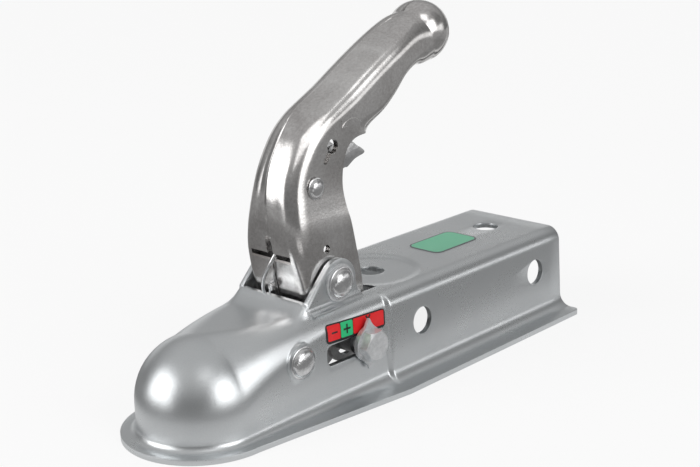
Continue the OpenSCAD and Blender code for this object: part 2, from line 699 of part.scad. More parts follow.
module pointer_plate() {
    flank = pointer_flank(55);
    half = concat(flank, [for (i = [6:-1:0]) [flank[i].x, -flank[i].y]]);
    color(zinc) difference() {
        union() {
            cross_cylinder(slide_x, slide_z, -near_stack, -far_stack, washer_d);
            side_plate(-near_stack, -far_stack) translate([slide_x, slide_z])
                polygon(concat(half, [for (i = [13:-1:0]) [-half[i].x, half[i].y]]));
        }
        cross_cylinder(slide_x, slide_z, -near_stack - 1, -far_stack + 1, bolt_d + 2 * pin_play);
    }
}

module slide_washer() {
    color(bright) cross_tube(slide_x, slide_z, -far_stack, -slide_y, washer_d, bolt_d + 2 * pin_play);
}

module far_washer() {
    color(bright) cross_tube(slide_x, slide_z, slide_y, far_stack, washer_d, bolt_d + 2 * pin_play);
}

module lock_nut() {
    color(bright) difference() {
        translate([slide_x, far_stack, slide_z]) rotate([-90, 0, 0])
            cylinder(h = nut_h, d = bolt_flats / cos(30), $fn = 6);
        cross_cylinder(slide_x, slide_z, far_stack - 1, far_stack + nut_h + 1, bolt_d + 2 * pin_play);
    }
}

module slide_sleeve() {
    half = front_wall(slot_front) - sheet_t - 0.7;
    color(dark_steel) cross_tube(slide_x, slide_z, -half, half, sleeve_d, bolt_d + 2 * pin_play);
}

module push_link() {
    nose = [34.4 + slide_travel + link_nose_r, -5.5];
    color(dark_steel) difference() {
        union() {
            cross_cylinder(slide_x, slide_z, -link_hw, link_hw, sleeve_d + 8);
            cross_cylinder(nose.x, nose.y, -link_hw, link_hw, 2 * link_nose_r);
            side_plate(-link_hw, link_hw)
                polygon([[nose.x - 3.4, nose.y + 2.8], [slide_x - 7.4, slide_z + 6.6],
                    [slide_x + 6.6, slide_z - 7.4], [nose.x + 2.8, nose.y - 3.4]]);
        }
        cross_cylinder(slide_x, slide_z, -link_hw - 1, link_hw + 1, sleeve_d + 2 * pin_play);
    }
}

// Thin plate with round corners, centred, lying on z = 0
module rounded_plate(length, width, r, t) {
    linear_extrude(height = t) {
        square([length - 2 * r, width], center = true);
        square([length, width - 2 * r], center = true);
        for (sx = [-1, 1]) for (sy = [-1, 1])
            translate([sx * (length / 2 - r), sy * (width / 2 - r)]) circle(r = r, $fn = 24);
    }
}

module indicator_label() {
    x = slot_front + label_len / 2 + 0.1;
    z = slide_z + slot_h / 2 + label_h / 2;
    turn = atan((wall_side(x + 15, z) - wall_side(x - 15, z)) / 30);
    y = wall_side(x, z) + label_gap;
    color([0.8, 0.1, 0.1]) translate([x, -y, z]) rotate([0, 0, -turn])
        rotate([90 - atan(front_lean(x)), 0, 0]) rotate([0, 0, -label_drop])
            rounded_plate(label_len, label_h, label_corner_r, label_t);
}

module top_decal() {
    color([0.35, 0.7, 0.55]) translate([mix(hole_xs[0], hole_xs[1], 0.61), 0, top_z])
        rounded_plate(decal_len, decal_w, decal_corner_r, label_t);
}

housing();
handle();
handle_rivet();
handle_rivet_rings();
handle_bush();
handle_spring();
detent_wire();
safety_catch();
catch_rivet();
catch_bush();
catch_spring();
jaw_rivet();
jaw_bush();
jaw_spacers();
jaw_spring();
ball_jaw();
slide_bolt();
pointer_plate();
slide_washer();
far_washer();
lock_nut();
slide_sleeve();
push_link();
indicator_label();
top_decal();
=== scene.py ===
"""Trailer coupling head: smooth sheet metal, rivets, wires, labels, finishes, light and camera."""
import logging
import math
from dataclasses import dataclass, field
from enum import Enum
from typing import Callable, NamedTuple, Sequence

import bmesh
import bpy
from mathutils import Matrix, Vector


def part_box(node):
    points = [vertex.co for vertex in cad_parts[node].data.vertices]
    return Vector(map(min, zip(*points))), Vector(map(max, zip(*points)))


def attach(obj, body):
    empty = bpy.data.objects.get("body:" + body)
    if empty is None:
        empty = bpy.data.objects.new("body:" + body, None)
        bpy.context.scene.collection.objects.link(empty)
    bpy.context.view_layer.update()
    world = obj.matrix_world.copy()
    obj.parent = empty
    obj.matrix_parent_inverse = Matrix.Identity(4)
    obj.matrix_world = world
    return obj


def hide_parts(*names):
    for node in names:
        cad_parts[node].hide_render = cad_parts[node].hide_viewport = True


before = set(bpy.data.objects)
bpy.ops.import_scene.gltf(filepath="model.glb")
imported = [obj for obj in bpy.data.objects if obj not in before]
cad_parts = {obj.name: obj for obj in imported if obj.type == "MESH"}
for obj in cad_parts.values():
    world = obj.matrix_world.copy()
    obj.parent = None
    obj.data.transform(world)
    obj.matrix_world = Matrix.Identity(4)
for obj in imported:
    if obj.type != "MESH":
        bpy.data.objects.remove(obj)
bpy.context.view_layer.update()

MM = 0.001
LOG = logging.getLogger("coupling")

Point2 = tuple[float, float]
Point3 = tuple[float, float, float]
Ring = list[Point3]
Object = bpy.types.Object
Material = bpy.types.Material
Socket = bpy.types.NodeSocket

# Rivets in the side view, and their bores in millimetres
LEVER_PIVOT: Point2 = (65.0, 38.0)
JAW_RIVET: Point2 = (33.0, 12.0)
CATCH_RIVET: Point2 = (59.0, 81.0)
BIG_BORE = 5.08
SMALL_BORE = 3.08
ROD_SIDES = 48


class Body(Enum):
    """Rigid bodies that pieces ride on."""

    COUPLING = "coupling"
    LEVER = "lever"
    CATCH = "catch"
    JAW = "jaw"


class Slot(Enum):
    """Material slots."""

    HOUSING = "housing_zinc"
    LEVER = "lever_zinc"
    BRIGHT = "bright_steel"
    DARK = "dark_steel"
    LABEL = "label_print"
    DECAL = "decal_print"


def mix(a: float, b: float, u: float) -> float:
    """Value a share u of the way from a to b."""
    return a + (b - a) * u


def ease(u: float) -> float:
    """Smooth step of u, held between 0 and 1."""
    u = min(1.0, max(0.0, u))
    return u * u * (3 - 2 * u)


def arc(centre: Point2, radius: float, start: float, end: float, steps: int) -> list[Point2]:
    """Points along an arc.

    Args:
        centre: Centre of the arc.
        radius: Radius of the arc.
        start: First angle, in degrees.
        end: Last angle, in degrees.
        steps: Number of segments.

    Returns:
        The points, both ends included.
    """
    angles = [math.radians(mix(start, end, i / steps)) for i in range(steps + 1)]
    return [(centre[0] + radius * math.cos(a), centre[1] + radius * math.sin(a)) for a in angles]


def spline(a, b, c, d, u: float):
    """Catmull-Rom value between b and c, for numbers or vectors."""
    return (2 * b + (c - a) * u + (2 * a - 5 * b + 4 * c - d) * u * u + (3 * b - a - 3 * c + d) * u ** 3) / 2


def fours(items: Sequence) -> list[Sequence]:
    """Each neighbouring pair of items with the one before and after it, where an end stands in for itself."""
    padded = [items[0], *items, items[-1]]
    return [padded[i:i + 4] for i in range(len(items) - 1)]


def smooth_path(points: Sequence[Point3], steps: int = 8) -> list[Vector]:
    """Smooth curve through the given points."""
    knots = [Vector(p) for p in points]
    return [spline(*around, k / steps) for around in fours(knots) for k in range(steps)] + [knots[-1]]


def metres(points: Sequence[Sequence[float]]) -> list[Point3]:
    """The same points, given in millimetres, as metres."""
    return [tuple(c * MM for c in p) for p in points]


def placed(name: str, data: bpy.types.ID) -> Object:
    """New object of the scene that shows a mesh, lamp or camera."""
    made = bpy.data.objects.new(name, data)
    bpy.context.scene.collection.objects.link(made)
    return made


def clean(mesh: bpy.types.Mesh, merge: float = 0.0, thin: float = 0.0, outward: bool = True) -> None:
    """Clears up a mesh.

    Args:
        mesh: The mesh that is changed.
        merge: Points closer than this become one, in metres; 0 leaves all apart.
        thin: Edges shorter than this are taken out, in metres.
        outward: True if the faces are turned outwards.
    """
    work = bmesh.new()
    work.from_mesh(mesh)
    if merge > 0:
        bmesh.ops.remove_doubles(work, verts=work.verts, dist=merge)
        bmesh.ops.dissolve_degenerate(work, edges=work.edges, dist=thin)
    if outward:
        bmesh.ops.recalc_face_normals(work, faces=work.faces)
    work.to_mesh(mesh)
    work.free()


def make_object(name: str, points: Sequence[Sequence[float]], faces: Sequence[Sequence[int]]) -> Object:
    """Mesh object from points in millimetres, with doubles merged and faces turned outwards.

    Args:
        name: Name of the object.
        points: Corner points, in millimetres.
        faces: Corner numbers of each face.

    Returns:
        The new object, linked to the scene.
    """
    mesh = bpy.data.meshes.new(name)
    mesh.from_pydata(metres(points), [], [tuple(f) for f in faces])
    clean(mesh, 1e-6, 1e-7)
    return placed(name, mesh)


def band(count: int, n: int, start: int = 0, closed: bool = True) -> list[tuple[int, ...]]:
    """Faces between neighbouring rings of points.

    Args:
        count: Number of rings.
        n: Points of each ring.
        start: Number of the first ring's first point.
        closed: True if each ring runs back to its own first point.

    Returns:
        The faces, ring by ring.
    """
    faces = []
    for low in range(start, start + (count - 1) * n, n):
        for j in range(n if closed else n - 1):
            k = (j + 1) % n
            faces.append((low + j, low + k, low + n + k, low + n + j))
    return faces


def loft(name: str, rings: Sequence[Ring], strip: bool = True) -> Object:
    """Closed solid through rings that all have the same number of points.

    Args:
        name: Name of the object.
        rings: The rings, in order.
        strip: True if a ring runs out along one face of a sheet and back along the other.

    Returns:
        The lofted object.
    """
    n = len(rings[0])
    faces = band(len(rings), n)
    for base in (0, (len(rings) - 1) * n):
        if strip:
            faces += [(base + k, base + k + 1, base + n - 2 - k, base + n - 1 - k) for k in range(n // 2 - 1)]
        else:
            faces.append(tuple(range(base, base + n)))
    return make_object(name, [p for ring in rings for p in ring], faces)


def prism(name: str, outline: Sequence[Point2], y0: float, y1: float) -> Object:
    """Plate across the part, its outline given in the side view as x and z."""
    return loft(name, [[(x, y, z) for x, z in outline] for y in (y0, y1)], strip=False)


def cross_rod(name: str, x: float, z: float, radius: float, y0: float, y1: float) -> Object:
    """Round rod across the part."""
    return prism(name, arc((x, z), radius, 0, 360, ROD_SIDES)[:-1], y0, y1)


def bore(name: str, centre: Point2, radius: float, reach: float) -> Object:
    """Round cutter through both sides of the part."""
    return cross_rod(name, *centre, radius, -reach, reach)


def upright_rod(name: str, x: float, y: float, radius: float, z0: float, z1: float) -> Object:
    """Upright round rod."""
    circle = arc((x, y), radius, 0, 360, ROD_SIDES)[:-1]
    return loft(name, [[(px, py, z) for px, py in circle] for z in (z0, z1)], strip=False)


def block(name: str, low: Point3, high: Point3) -> Object:
    """Square block between two corners."""
    outline = [(low[0], low[2]), (high[0], low[2]), (high[0], high[2]), (low[0], high[2])]
    return prism(name, outline, low[1], high[1])


def settle(piece: Object) -> Object:
    """Turns the result of the piece's modifiers into its plain mesh."""
    view = bpy.context.evaluated_depsgraph_get()
    view.update()
    mesh = bpy.data.meshes.new_from_object(piece.evaluated_get(view), depsgraph=view)
    piece.modifiers.clear()
    piece.data = mesh
    return piece


def combine(piece: Object, tools: Sequence[Object], operation: str) -> Object:
    """Adds or cuts tools, one after another, and removes them.

    Args:
        piece: The solid that is changed.
        tools: The solids to add or cut away.
        operation: UNION or DIFFERENCE.

    Returns:
        The changed solid.
    """
    for tool in tools:
        modifier = piece.modifiers.new("shape", "BOOLEAN")
        modifier.object = tool
        modifier.operation = operation
        modifier.solver = "EXACT"
        settle(piece)
        bpy.data.objects.remove(tool)
    return piece


def soften(piece: Object, width: float, angle: float = 32.0, segments: int = 2,
           flat: bool = False) -> Object:
    """Rounds the sharp edges and shades the rest smoothly.

    Args:
        piece: The solid to finish.
        width: Width of the rounding, in millimetres.
        angle: Edges that turn by more than this are rounded, in degrees.
        segments: Faces across each rounding.
        flat: True if wide flat faces keep their own shading up to their edges.

    Returns:
        The finished solid.
    """
    clean(piece.data, 2e-6, 2e-6, outward=False)
    if width > 0:
        bevel = piece.modifiers.new("edges", "BEVEL")
        bevel.width = width * MM
        bevel.segments = segments
        bevel.limit_method = "ANGLE"
        bevel.angle_limit = math.radians(angle)
        bevel.harden_normals = False
        settle(piece)
    for face in piece.data.polygons:
        face.use_smooth = True
    piece.data.set_sharp_from_angle(angle=math.radians(angle + 8))
    if flat:
        shading = piece.modifiers.new("shading", "WEIGHTED_NORMAL")
        shading.keep_sharp = True
        shading.weight = 80
        settle(piece)
    return piece


def dress(piece: Object, material: Material, body: Body, slot: Slot,
          replaced: Sequence[str] = ()) -> Object:
    """Gives a piece its finish and its body, and hides the nodes that it replaces.

    Args:
        piece: The finished piece.
        material: Its material.
        body: The body that it rides on.
        slot: Its material slot; not used.
        replaced: The nodes that it replaces.

    Returns:
        The same piece.
    """
    if not piece.data.materials:
        piece.data.materials.append(material)
    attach(piece, body.value)
    if replaced:
        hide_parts(*replaced)
    return piece


class NodeCanvas:
    """Small helper that adds and links nodes of one tree."""

    def __init__(self, tree: bpy.types.NodeTree) -> None:
        """Keeps the tree that nodes are added to."""
        self.tree = tree

    def add(self, kind: str, values: dict | None = None, **settings) -> bpy.types.Node:
        """Adds a node.

        Args:
            kind: Blender's type name of the node.
            values: Input values or output sockets, by input name or number.
            settings: Attributes of the node itself.

        Returns:
            The new node.
        """
        node = self.tree.nodes.new(kind)
        for key, value in settings.items():
            setattr(node, key, value)
        for key, value in (values or {}).items():
            if isinstance(value, Socket):
                self.tree.links.new(value, node.inputs[key])
            else:
                node.inputs[key].default_value = value
        return node

    def math(self, operation: str, a, b=0.0, clamp: bool = False) -> Socket:
        """Output of a Math node on two values or sockets."""
        return self.add("ShaderNodeMath", {0: a, 1: b}, operation=operation, use_clamp=clamp).outputs[0]

    def spread(self, value, start: float, end: float, low: float, high: float,
               soft: bool = False) -> Socket:
        """Maps a range of values onto another one.

        Args:
            value: The value or socket that is mapped.
            start: Value that becomes low.
            end: Value that becomes high.
            low: Result at the start.
            high: Result at the end.
            soft: True for a smooth step between them.

        Returns:
            The mapped value.
        """
        return self.add("ShaderNodeMapRange", {0: value, 1: start, 2: end, 3: low, 4: high},
                        interpolation_type="SMOOTHSTEP" if soft else "LINEAR").outputs[0]

    def tint(self, share: Socket, a: Sequence[float], b: Sequence[float]) -> Socket:
        """Colour a share of the way from a to b."""
        return self.add("ShaderNodeMix", {0: share, 6: (*a, 1.0), 7: (*b, 1.0)}, data_type="RGBA").outputs[2]

    def sockets(self, way: str, names: dict[str, str]) -> None:
        """Names the inputs or outputs of a group, with the kind of each."""
        for name, kind in names.items():
            self.tree.interface.new_socket(name, in_out=way, socket_type="NodeSocket" + kind)


def new_surface(name: str) -> tuple[Material, NodeCanvas]:
    """Empty material and the canvas of its nodes."""
    made = bpy.data.materials.new(name)
    made.use_nodes = True
    made.node_tree.nodes.clear()
    return made, NodeCanvas(made.node_tree)


def metal_surface_group() -> bpy.types.NodeTree:
    """Shared pattern of plated sheet metal.

    Returns:
        A group with a patch mask, a fine speckle mask and a height, all from object coordinates.
    """
    tree = bpy.data.node_groups.new("plated_surface", "ShaderNodeTree")
    canvas = NodeCanvas(tree)
    canvas.sockets("INPUT", {"Position": "Vector", "Patch scale": "Float", "Speckle scale": "Float",
                             "Streak": "Float"})
    canvas.sockets("OUTPUT", {"Patches": "Float", "Speckle": "Float", "Height": "Float"})
    inside = canvas.add("NodeGroupInput").outputs
    place, fine = inside["Position"], inside["Speckle scale"]
    patches = canvas.add("ShaderNodeTexNoise", {"Vector": place, "Scale": inside["Patch scale"],
                                                "Detail": 3.0, "Roughness": 0.55, "Distortion": 0.6})
    speckle = canvas.add("ShaderNodeTexNoise", {"Vector": place, "Scale": fine, "Detail": 4.0,
                                                "Roughness": 0.7})
    stretched = canvas.add("ShaderNodeVectorMath", {0: place, 1: (0.12, 1.0, 1.0)}, operation="MULTIPLY")
    streaks = canvas.add("ShaderNodeTexNoise", {"Vector": stretched.outputs[0], "Scale": fine,
                                                "Detail": 2.0, "Roughness": 0.6})
    drawn = canvas.math("MULTIPLY", streaks.outputs[0], inside["Streak"])
    height = canvas.math("ADD", canvas.math("MULTIPLY", speckle.outputs[0], 0.7), drawn)
    canvas.add("NodeGroupOutput", {"Patches": patches.outputs[0], "Speckle": speckle.outputs[0],
                                   "Height": height})
    return tree


def pattern_of(canvas: NodeCanvas, group: bpy.types.NodeTree, patches: float, speckle: float,
               streak: float = 0.0) -> bpy.types.bpy_prop_collection:
    """Shared pattern of plated metal on object coordinates.

    Args:
        canvas: Helper of the material's tree.
        group: The shared pattern.
        patches: Scale of the patches.
        speckle: Scale of the speckle.
        streak: Share of drawn streaks in the height.

    Returns:
        The outputs of the pattern.
    """
    place = canvas.add("ShaderNodeTexCoord").outputs["Object"]
    return canvas.add("ShaderNodeGroup", {"Position": place, "Patch scale": patches, "Speckle scale": speckle,
                                          "Streak": streak}, node_tree=group).outputs


@dataclass(frozen=True)
class MetalFinish:
    """Plated or plain steel with patches, speckle and a fine surface relief."""

    name: str
    light: tuple[float, float, float]
    dark: tuple[float, float, float]
    smooth: float
    rough: float
    patch_scale: float = 22.0
    speckle_scale: float = 900.0
    streak: float = 0.3
    relief: float = 0.05
    contrast: float = 1.0
    metallic: float = 1.0
    middle: float = 0.6
    span: float = 0.28

    def material(self, group: bpy.types.NodeTree) -> Material:
        """Builds the material.

        Args:
            group: The shared pattern of plated metal.

        Returns:
            The material.
        """
        made, canvas = new_surface(self.name)
        pattern = pattern_of(canvas, group, self.patch_scale, self.speckle_scale, self.streak)
        blend = canvas.math("ADD", canvas.math("MULTIPLY", pattern["Patches"], 0.75),
                            canvas.math("MULTIPLY", pattern["Speckle"], 0.45))
        share = canvas.spread(blend, self.middle - self.span / self.contrast,
                              self.middle + self.span / self.contrast, 0.0, 1.0)
        bump = canvas.add("ShaderNodeBump", {"Height": pattern["Height"], "Strength": self.relief,
                                             "Distance": 0.0004}).outputs[0]
        shader = canvas.add("ShaderNodeBsdfPrincipled", {
            "Base Color": canvas.tint(share, self.dark, self.light), "Normal": bump,
            "Roughness": canvas.spread(share, 0.0, 1.0, self.rough, self.smooth)})
        shader.inputs["Metallic"].default_value = self.metallic
        canvas.add("ShaderNodeOutputMaterial", {"Surface": shader.outputs[0]})
        return made


@dataclass(frozen=True)
class PrintFinish:
    """Ink on a thin film, slightly uneven, under a clear face."""

    name: str
    ink: tuple[float, float, float]
    roughness: float = 0.35
    wear: float = 0.22

    def material(self, group: bpy.types.NodeTree) -> Material:
        """Builds the material from the shared pattern."""
        made, canvas = new_surface(self.name)
        pattern = pattern_of(canvas, group, 60.0, 1800.0)
        worn = canvas.spread(pattern["Patches"], 0.3, 0.7, 0.0, self.wear)
        pale = tuple(mix(c, 0.75, 0.16) for c in self.ink)
        bump = canvas.add("ShaderNodeBump", {"Height": pattern["Speckle"], "Strength": 0.05,
                                             "Distance": 0.0002}).outputs[0]
        shader = canvas.add("ShaderNodeBsdfPrincipled", {"Base Color": canvas.tint(worn, self.ink, pale),
                                                         "Normal": bump})
        shader.inputs["Roughness"].default_value = self.roughness
        shader.inputs["Specular IOR Level"].default_value = 0.25
        canvas.add("ShaderNodeOutputMaterial", {"Surface": shader.outputs[0]})
        return made


@dataclass
class Finishes:
    """All materials of the coupling."""

    group: bpy.types.NodeTree = field(default_factory=metal_surface_group)

    def __post_init__(self) -> None:
        """Builds each material once."""
        self.housing = self.metal("housing_plate", (0.8, 0.82, 0.83), (0.66, 0.685, 0.7), 0.25, 0.34,
                                  patch_scale=18, speckle_scale=1500, relief=0.22)
        self.lever = self.metal("lever_plate", (0.9, 0.89, 0.88), (0.52, 0.5, 0.49), 0.1, 0.21,
                                patch_scale=30, speckle_scale=700, relief=0.1, contrast=1.5)
        self.bright = self.metal("rivet_plate", (0.9, 0.9, 0.9), (0.6, 0.6, 0.61), 0.12, 0.2,
                                 patch_scale=160, speckle_scale=420, relief=0.5, contrast=1.4)
        self.plated = self.metal("bolt_plate", (0.8, 0.81, 0.82), (0.55, 0.56, 0.57), 0.36, 0.48,
                                 patch_scale=260, relief=0.3, contrast=1.3, metallic=0.6)
        self.dark = self.metal("inner_steel", (0.42, 0.42, 0.43), (0.24, 0.24, 0.24), 0.35, 0.55)
        self.black = self.ink("label_border", (0.012, 0.012, 0.013))
        self.red = self.ink("label_red", (0.76, 0.004, 0.008), 0.5)
        self.green = self.ink("label_green", (0.02, 0.5, 0.19), 0.5)
        self.decal_rim = self.ink("decal_rim", (0.13, 0.13, 0.14))
        self.decal_face = self.ink("decal_face", (0.2, 0.55, 0.36), 0.5)

    def metal(self, *values, **settings) -> Material:
        """Material of a metal finish with the given values."""
        return MetalFinish(*values, **settings).material(self.group)

    def ink(self, *values) -> Material:
        """Material of a print finish with the given values."""
        return PrintFinish(*values).material(self.group)


class Section(NamedTuple):
    """Sizes of the housing's section at one distance from the ball."""

    half_width: float
    top: float
    bend_r: float
    lean: float
    foot_r: float
    edge: float


@dataclass
class PressedHousing:
    """The housing: round dome, tapering front body, step and drawbar channel, pressed from one sheet."""

    ball_height: float = 15.8
    sheet: float = 2.5
    dome_r: float = 28.1
    rear_x: float = 222.0
    step_x: float = 86.0
    step_len: float = 2.5
    front_hw: float = 30.0
    channel_hw: float = 32.0
    wall_lean: float = 0.045
    top_z: float = 28.3
    top_bend_r: float = 7.0
    shoulder_ease: float = 2.6
    foot_r: float = 6.5
    nose_foot_r: float = 3.5
    nose_flange: float = 6.8
    flange_hw: float = 44.5
    hole_r: float = 6.5
    hole_x: tuple[float, float] = (110.0, 200.0)
    hole_z: float = 9.7
    lip_x: float = 43.7
    lip_rise: float = 4.9
    crown_steps: int = 12
    bend_steps: int = 16
    wall_steps: int = 6
    foot_steps: int = 7
    dome_steps: int = 56
    top_start: float = 19.0
    top_fade: float = 5.0
    collar_start: float = 32.8
    collar_power: float = 2.3
    collar_end: float = 2.6
    collar_fall: float = 3.0
    collar_hw: float = 19.5
    collar_fade: float = 4.5
    dish_r: float = 21.4
    dish_edge: float = 1.6
    dish_depth: float = 0.8
    opening_rear: float = 92.0
    ear_in: float = 18.9
    ear_r: float = 10.8
    ear_foot_r: float = 3.0
    seat: tuple[float, float, float] = (8.5, 26.6, 28.78)
    corner_r: float = 3.03
    slot: tuple[float, float, float, float] = (48.6, 77.6, 4.7, 14.1)
    slot_r: float = 3.0
    rounding: float = 0.35

    def sizes(self, x: float) -> Section:
        """Sizes of the section at a distance from the ball."""
        u = min(1.0, max(0.0, x / self.step_x))
        front = (mix(self.dome_r, self.front_hw, u * u), mix(self.dome_r, self.top_z, u),
                 mix(self.dome_r, self.top_bend_r, 1 - (1 - u) ** self.shoulder_ease), self.wall_lean * u,
                 mix(self.nose_foot_r, self.foot_r, u),
                 mix(self.dome_r + self.nose_flange, self.flange_hw, u))
        rear = (self.channel_hw, self.top_z, self.top_bend_r, self.wall_lean, self.foot_r, self.flange_hw)
        v = ease((x - self.step_x) / self.step_len)
        return Section(*(mix(a, b, v) for a, b in zip(front, rear)))

    def half_path(self, x: float, inset: float) -> list[Point2]:
        """Half section of one face of the sheet, from the crown to the foot.

        Args:
            x: Distance from the ball.
            inset: 0 for the outside, the sheet's thickness for the inside.

        Returns:
            Points as y and z.
        """
        at = self.sizes(x)
        bend_z, foot_z = at.top - at.bend_r, self.sheet - self.ball_height + at.foot_r
        slant = math.hypot(1, at.lean)
        tilt = math.degrees(math.atan(at.lean))
        bend_y = at.half_width - at.lean * bend_z - at.bend_r * slant
        crown = [(bend_y * i / self.crown_steps, at.top - inset) for i in range(self.crown_steps)]
        bend = arc((bend_y, bend_z), at.bend_r - inset, 90, tilt, self.bend_steps)
        foot_y = at.half_width - at.lean * foot_z + at.foot_r * slant
        foot = arc((foot_y, foot_z), at.foot_r + inset, 180 + tilt, 270, self.foot_steps)
        wall = [tuple(mix(a, b, k / self.wall_steps) for a, b in zip(bend[-1], foot[0]))
                for k in range(1, self.wall_steps)]
        return crown + bend + wall + foot

    def outside(self, x: float) -> list[Point2]:
        """Outside of the half section, with the edge of the flange."""
        base, edge = -self.ball_height, self.sizes(x).edge
        return self.half_path(x, 0) + [(edge, base + self.sheet), (edge, base)]

    def pressed(self, x: float, y: float, z: float) -> float:
        """Height of a point of the top after the collar and the round pressing are formed."""
        near_top = ease((z - self.top_start) / self.top_fade)
        way = (x - self.collar_start) / (self.lip_x - self.collar_start)
        rise = self.lip_rise * min(1.0, max(0.0, way)) ** self.collar_power
        if x > self.lip_x + self.collar_end:
            rise *= 1 - ease((x - self.lip_x - self.collar_end) / self.collar_fall)
        rise *= 1 - ease((abs(y) - self.collar_hw) / self.collar_fade)
        dip = 0.0
        if x > self.step_x:
            away = math.hypot(x - self.hole_x[0], y)
            dip = self.dish_depth * (1 - ease((away - self.dish_r) / self.dish_edge))
        return z + near_top * (rise - dip)

    def ring(self, x: float) -> Ring:
        """Closed ring of the sheet's section."""
        outer, inner = self.outside(x), self.half_path(x, self.sheet)
        section = [(-y, z) for y, z in reversed(outer[1:])] + outer + inner[::-1]
        section += [(-y, z) for y, z in inner[1:]]
        return [(x, y, self.pressed(x, y, z)) for y, z in section]

    def stations(self) -> list[float]:
        """Distances from the ball at which sections are placed."""
        collar = [32 + 0.8 * i for i in range(1, 24)]
        body = [52, 54, 57, 60, 64, 68, 72, 76, 79, 82, 84.5, 85.5]
        step = [self.step_x + self.step_len * i / 8 for i in range(9)]
        dish = [step[-1] + 1.5 * i for i in range(1, 33)]
        return [*range(0, 33, 2), *collar, *body, *step, *dish, 140, 160, 180, 200, 212, self.rear_x]

    def shell(self) -> Object:
        """The bare pressed sheet, dome included, before anything is cut."""
        rings = [self.ring(x) for x in self.stations()]
        n = len(rings[0])
        points = [p for ring in rings for p in ring]
        outer = self.outside(0)
        faces = band(len(rings), n) + self.end_faces(len(points) - n, len(outer), n)
        profile = outer + self.half_path(0, self.sheet)[::-1]
        start, steps = len(points), self.dome_steps
        for i in range(steps + 1):
            a = math.pi * i / steps
            points += [(-y * math.sin(a), y * math.cos(a), z) for y, z in profile]
        faces += band(steps + 1, len(profile), start, closed=False)
        return make_object("housing_sheet", points, faces)

    @staticmethod
    def end_faces(base: int, half: int, n: int) -> list[tuple[int, ...]]:
        """Faces that close the rear end of the sheet.

        Args:
            base: Number of the ring's first point.
            half: Points of one half of the outside, edge included.
            n: Points of the ring.

        Returns:
            The faces, from one flange edge to the other.
        """
        out, last = base + 2 * half - 1, base + n - 1
        quads = [(base + k, base + k + 1, last - k, last + 1 - k) for k in range(1, 2 * half - 5)]
        return [(base, base + 1, last)] + quads + [(out - 2, out - 1, out)]

    def ear_outline(self) -> list[Point2]:
        """Outline of an ear in the side view."""
        foot = (self.lip_x + 1.3, 33.4)
        dx, dz = LEVER_PIVOT[0] - foot[0], LEVER_PIVOT[1] - foot[1]
        rise = math.degrees(math.atan2(dz, dx) + math.asin(self.ear_r / math.hypot(dx, dz)))
        round_top = arc(LEVER_PIVOT, self.ear_r, rise + 90, -6, 40)
        rear = LEVER_PIVOT[0] + self.ear_r
        tail = [(rear + 0.6, 33.5), (rear + 2.0, 30.6), (rear + 5.0, 28.4), (rear + 6.0, 26.2)]
        return [(foot[0] - 1.0, 26.2), foot] + round_top + tail

    def ears(self) -> Object:
        """Both ears with a curved foot on their outer side."""
        outline = self.ear_outline()
        y0, z0, r = self.ear_in + self.sheet, self.top_z - 0.1, self.ear_foot_r
        curve = arc((y0 + r, z0 + r), r, 180, 270, 8)
        foot = [(y0 - 1, z0 - 1), (y0 - 1, z0 + r)] + curve + [(y0 + r, z0 - 1)]
        made = []
        for side in (-1, 1):
            plate = prism("ear", outline, side * self.ear_in, side * y0)
            rings = [[(x, side * y, z) for y, z in foot]
                     for x in (self.lip_x + 2, LEVER_PIVOT[0] + self.ear_r + 3)]
            made.append(combine(plate, [loft("foot", rings, strip=False)], "UNION"))
        return combine(made[0], made[1:], "UNION")

    def side_y(self, x: float, z: float) -> float:
        """Outside half width of the body at a distance from the ball and a height."""
        at = self.sizes(x)
        bend_z = at.top - at.bend_r
        if z <= bend_z:
            return at.half_width - at.lean * z
        centre = at.half_width - at.lean * bend_z - at.bend_r * math.hypot(1, at.lean)
        return centre + math.sqrt(max(0.0, at.bend_r * at.bend_r - (z - at.top + at.bend_r) ** 2))

    def cutters(self) -> list[Object]:
        """Everything that is cut out of the housing."""
        x0, x1, z0, z1 = self.slot
        r, reach = self.slot_r, 50
        corners = [(x1 - r, z1 - r), (x0 + r, z1 - r), (x0 + r, z0 + r), (x1 - r, z0 + r)]
        window = [p for k, c in enumerate(corners) for p in arc(c, r, 90 * k, 90 * k + 90, 8)]
        tools = [block("opening", (self.lip_x + 2.5, -self.ear_in, 12),
                       (self.opening_rear + 0.04, self.ear_in + 0.01, 60)),
                 prism("slot", window, -reach, reach),
                 bore("pivot_hole", LEVER_PIVOT, BIG_BORE, reach),
                 bore("jaw_hole", JAW_RIVET, BIG_BORE, reach)]
        for x in self.hole_x:
            tools += [bore("side_hole", (x, self.hole_z), self.hole_r, reach),
                      upright_rod("top_hole", x, 0, self.hole_r, 10, 50)]
        rear, edge = self.rear_x, self.flange_hw
        outline = [(rear + 1, edge - 3)] + arc((rear - 3.02, edge - 3.02), self.corner_r, 1.5, 88.5, 8)
        outline += [(rear - 3, edge + 1), (rear + 1, edge + 1)]
        for side in (-1, 1):
            rings = [[(x, side * y, z) for x, y in outline] for z in (-20, -10)]
            tools.append(loft("corner", rings, strip=False))
        return tools

    def build(self, finishes: Finishes) -> Object:
        """Builds the housing and dresses it."""
        body = self.shell()
        radius, inner, outer = self.seat
        pads = [cross_rod("pad", *JAW_RIVET, radius, s * inner, s * outer) for s in (-1, 1)]
        combine(body, [self.ears()] + pads, "UNION")
        combine(body, self.cutters(), "DIFFERENCE")
        soften(body, self.rounding)
        return dress(body, finishes.housing, Body.COUPLING, Slot.HOUSING, ["housing"])


class LeverRow(NamedTuple):
    """One section of the lever: its ends in the side view, its share of the full width, and its folds."""

    front: Point2
    rear: Point2
    wide: float
    bend: float = 9
    curl: float = 0
    length: float = 8
    lip: float = 0.8


